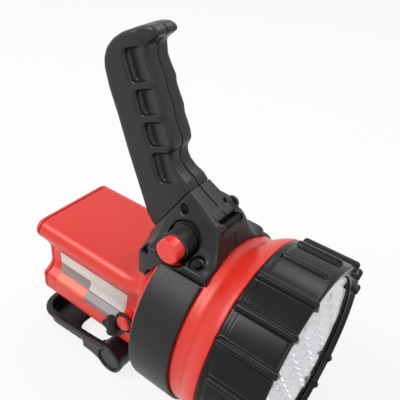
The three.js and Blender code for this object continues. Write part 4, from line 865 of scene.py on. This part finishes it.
def make_reflector():
    front_points, front_faces = holed_disc(REFLECTOR_FRONT, REFLECTOR_RADIUS, CUP_MOUTH)
    rear_points, rear_faces = holed_disc(REFLECTOR_REAR, REFLECTOR_REAR_RADIUS, CUP_THROAT)
    points, faces = list(front_points), list(front_faces)
    faces += [tuple(i + len(points) for i in face) for face in rear_faces]
    points += rear_points
    rim = [(REFLECTOR_REAR, REFLECTOR_REAR_RADIUS), (FLANGE_REAR, 66.75), (FLANGE_REAR, FLANGE_RADIUS)]
    rim += [(FLANGE_FRONT, FLANGE_RADIUS), (FLANGE_FRONT, 63.0), (REFLECTOR_FRONT, REFLECTOR_RADIUS)]
    walls = [(place, cup_profile(), CUP_STEPS) for place in cup_places()]
    walls.append(((0, 0), rim, RIM_STEPS))
    for (y, z), rows, steps in walls:
        start = len(points)
        for x, radius in rows:
            points += [(x, *p) for p in circle_points(y, z, radius, steps)]
        faces += [tuple(i + start for i in face) for face in grid_faces(len(rows), steps, False, True)]
    mesh = new_mesh("reflector_metallised", points, faces, 35)
    add_piece("reflector_metallised", mesh, reflector_metal, "reflector", ["reflector"])


# One 5 mm LED: its foot has a collar, and its top is a half sphere
LED_FOOT, LED_COLLAR_TOP, LED_DOME = 10.45, 12.6, 19.2
LED_RADIUS, LED_COLLAR_RADIUS = 2.5, 2.9


def make_lamps():
    board = [(8.8, 0), (8.8, 59.7), (9.1, 60), (10.1, 60), (10.4, 59.7), (10.4, 0)]
    board_mesh = turned("led_board_plate", board, 96, sharp_angle=30)
    add_piece("led_board_plate", board_mesh, board_finish, "led_board", ["led_board"])
    dome = [(LED_FOOT, 0), (LED_FOOT, LED_COLLAR_RADIUS), (LED_COLLAR_TOP, LED_COLLAR_RADIUS)]
    dome += [(LED_COLLAR_TOP, LED_RADIUS)]
    for a in np.radians([0, 15, 30, 45, 60, 75, 90]):
        dome.append((LED_DOME + 2.45 * math.sin(a), LED_RADIUS * math.cos(a)))
    shape = bmesh.new()
    for y, z in cup_places():
        single = turned("dome", dome, 20, (0, y, z), sharp_angle=50)
        shape.from_mesh(single)
        bpy.data.meshes.remove(single)
    mesh = bpy.data.meshes.new("led_domes")
    shape.to_mesh(mesh)
    shape.free()
    smooth_by_angle(mesh, 50)
    add_piece("led_domes", mesh, led_epoxy, "led_board")


make_lens()
make_reflector()
make_lamps()

# Push switch: the bush has a moulded thread, and the cap a rounded rim and a slightly hollow face

SWITCH_X, SWITCH_Z = -54.5, 69.3
THREAD_START, THREAD_ROOT, THREAD_PITCH, THREAD_TURNS, STEPS_PER_TURN = -16.6, 9.0, 1.5, 9, 40
# The thread rises from its root over this many steps at either end
THREAD_RUN_IN = 12


def make_thread():
    """One long strip winds round the bush: root, crest and root again on every pass."""
    points = []
    rows = THREAD_TURNS * STEPS_PER_TURN + 1
    profile = [(0.0, 9.35), (0.45, 10.15), (0.8, 10.15), (1.25, 9.35)]
    profile += [(1.25, THREAD_ROOT), (0.0, THREAD_ROOT)]
    for r in range(rows):
        a = math.tau * r / STEPS_PER_TURN
        ease = min(1.0, r / THREAD_RUN_IN, (rows - 1 - r) / THREAD_RUN_IN)
        for along, radius in profile:
            out = THREAD_ROOT + (radius - THREAD_ROOT) * ease
            y = THREAD_START - THREAD_PITCH * r / STEPS_PER_TURN - along
            points.append((SWITCH_X + out * math.cos(a), y, SWITCH_Z + out * math.sin(a)))
    count = len(profile)
    faces = grid_faces(rows, count, False, True)
    faces += [tuple(range(count)), tuple(range(len(points) - count, len(points)))]
    add_piece("switch_thread", new_mesh("switch_thread", points, faces, 50), black_nylon, "switch_body")


def make_switch():
    middle = (SWITCH_X, 0, SWITCH_Z)
    bush = [(-8.4, 3.3), (-8.4, 7.3), (-12.3, 7.3), (-12.3, 9.6), (-30.0, 9.6), (-30.4, 9.3), (-30.4, 9.0)]
    bush += [(-17.7, 9.0), (-17.7, 3.3)]
    bush_mesh = turned("switch_bush", bush, 64, middle, "y", 35)
    add_piece("switch_bush", bush_mesh, black_nylon, "switch_body", ["switch_body"])
    cap = [(-11.0, 0), (-11.0, 3.0), (-21.0, 3.0), (-21.0, 8.6), (-38.1, 8.6), (-38.55, 8.45)]
    cap += [(-38.85, 8.1), (-39.0, 7.6), (-38.92, 6.0), (-38.8, 4.0), (-38.72, 2.0), (-38.7, 0)]
    cap_mesh = turned("push_cap", cap, 72, middle, "y", 60)
    add_piece("push_cap", cap_mesh, red_cap, "switch_button", ["switch_button"])


make_thread()
make_switch()

# Label: a plain printed sticker of bare colour blocks on the body's near side


def sticker(name, colour, x_low, x_high, z_high, z_low, cut=0.0, lift=0.2):
    """A thin curved panel that follows the body's waisted side; cut takes its lower front corner off."""
    rows, columns = 26, 12
    points = []
    for offset in (lift, -0.15):
        for z in np.linspace(z_high, z_low, rows):
            end = x_high - cut * (z_high - z) / (z_high - z_low)
            slope = float(side_y(z - 0.2) - side_y(z + 0.2)) / 0.4
            length = math.hypot(1, slope)
            for x in np.linspace(x_low, end, columns):
                points.append((x, -float(side_y(z)) - offset / length, z + offset * slope / length))
    count = rows * columns
    faces = grid_faces(rows, columns)
    faces += [tuple(i + count for i in face) for face in grid_faces(rows, columns)]
    rim = list(range(columns)) + [r * columns + columns - 1 for r in range(1, rows)]
    rim += [count - 1 - i for i in range(1, columns)] + [r * columns for r in range(rows - 2, 0, -1)]
    faces += [(a, b, b + count, a + count) for a, b in zip(rim, rim[1:] + rim[:1])]
    add_piece(name, new_mesh(name, points, faces, 60), printed_film(name + "_film", colour), "main_housing")


def make_label():
    sticker("label_strip", "d8d3cd", -174.0, -139.0, -4.6, -15.6)
    sticker("label_side_panel", "d3cdc6", -138.8, -97.4, -4.6, -24.0, 2.4)
    sticker("label_grey_block", "8a8583", -174.0, -139.0, -15.8, -24.0)
    sticker("label_red_block", "e8623f", -172.0, -138.4, -24.6, -29.4)
    sticker("label_foot_block", "77726f", -138.2, -100.5, -24.6, -29.4, 4.5)
    sticker("label_line", "1c1b1b", -139.0, -99.9, -24.0, -24.6, 0.0, 0.22)


make_label()

# Studio: a pale floor, soft light, and a white surround for the camera and for reflections, in metres

FLOOR_REACH = 4
# The share of plain white in the floor as it is seen, which leaves the object's shadow on it
FLOOR_WHITE = 0.82
# The room's light on the object
ROOM_LIGHT = 0.42


def seen_rays(tree):
    """1 for what the camera sees, also in gloss or through the lens, and 0 for light on the object."""
    path = add_node(tree, "ShaderNodeLightPath").outputs
    largest = {"operation": "MAXIMUM"}
    seen = add_node(tree, "ShaderNodeMath", largest, i0=path["Is Camera Ray"], i1=path["Is Glossy Ray"])
    seen = add_node(tree, "ShaderNodeMath", largest, i0=seen.outputs[0], i1=path["Is Transmission Ray"])
    return seen.outputs[0]


def make_floor():
    r = FLOOR_REACH
    mesh = bpy.data.meshes.new("floor")
    mesh.from_pydata([(-r, -r, 0), (r, -r, 0), (r, r, 0), (-r, r, 0)], [], [(0, 1, 2, 3)])
    floor = bpy.data.objects.new("floor", mesh)
    bpy.context.scene.collection.objects.link(floor)
    material, tree, shader = new_material("studio_floor", Roughness=0.9)
    shader.inputs["Base Color"].default_value = hex_colour("f6f6f6")
    glow = add_node(tree, "ShaderNodeEmission", Strength=1.0)
    share = add_node(tree, "ShaderNodeMath", {"operation": "MULTIPLY"}, i0=seen_rays(tree), i1=FLOOR_WHITE)
    mixed = add_node(
        tree, "ShaderNodeMixShader", i0=share.outputs[0], i1=shader.outputs[0], i2=glow.outputs[0]
    )
    tree.links.new(mixed.outputs[0], tree.nodes["Material Output"].inputs["Surface"])
    mesh.materials.append(material)


def make_world():
    world = bpy.data.worlds.new("studio")
    world.use_nodes = True
    bpy.context.scene.world = world
    tree = world.node_tree
    room = tree.nodes["Background"]
    room.inputs["Color"].default_value = hex_colour("f2f4f8")
    room.inputs["Strength"].default_value = ROOM_LIGHT
    white = add_node(tree, "ShaderNodeBackground", Color=WHITE, Strength=1.0)
    mixed = add_node(
        tree, "ShaderNodeMixShader", i0=seen_rays(tree), i1=room.outputs[0], i2=white.outputs[0]
    )
    tree.links.new(mixed.outputs[0], tree.nodes["World Output"].inputs["Surface"])


def add_lamp(name, place, width, height, watts):
    """A soft box that shines on the middle of the lamp, from a place in metres."""
    data = bpy.data.lights.new(name, "AREA")
    data.shape = "RECTANGLE"
    data.size = width
    data.size_y = height
    data.energy = watts
    lamp = bpy.data.objects.new(name, data)
    lamp.location = place
    lamp.rotation_euler = (Vector((0, 0, 0.1)) - Vector(place)).to_track_quat("-Z", "Y").to_euler()
    bpy.context.scene.collection.objects.link(lamp)


make_floor()
make_world()
add_lamp("key_softbox", (-0.9, -0.9, 1.5), 1.0, 1.0, 20)
add_lamp("fill_softbox", (1.4, -1.0, 0.9), 0.8, 1.2, 6)
add_lamp("top_strip", (0.2, 0.9, 1.5), 1.4, 0.5, 8)

scene = bpy.context.scene
scene.view_settings.view_transform = "Standard"
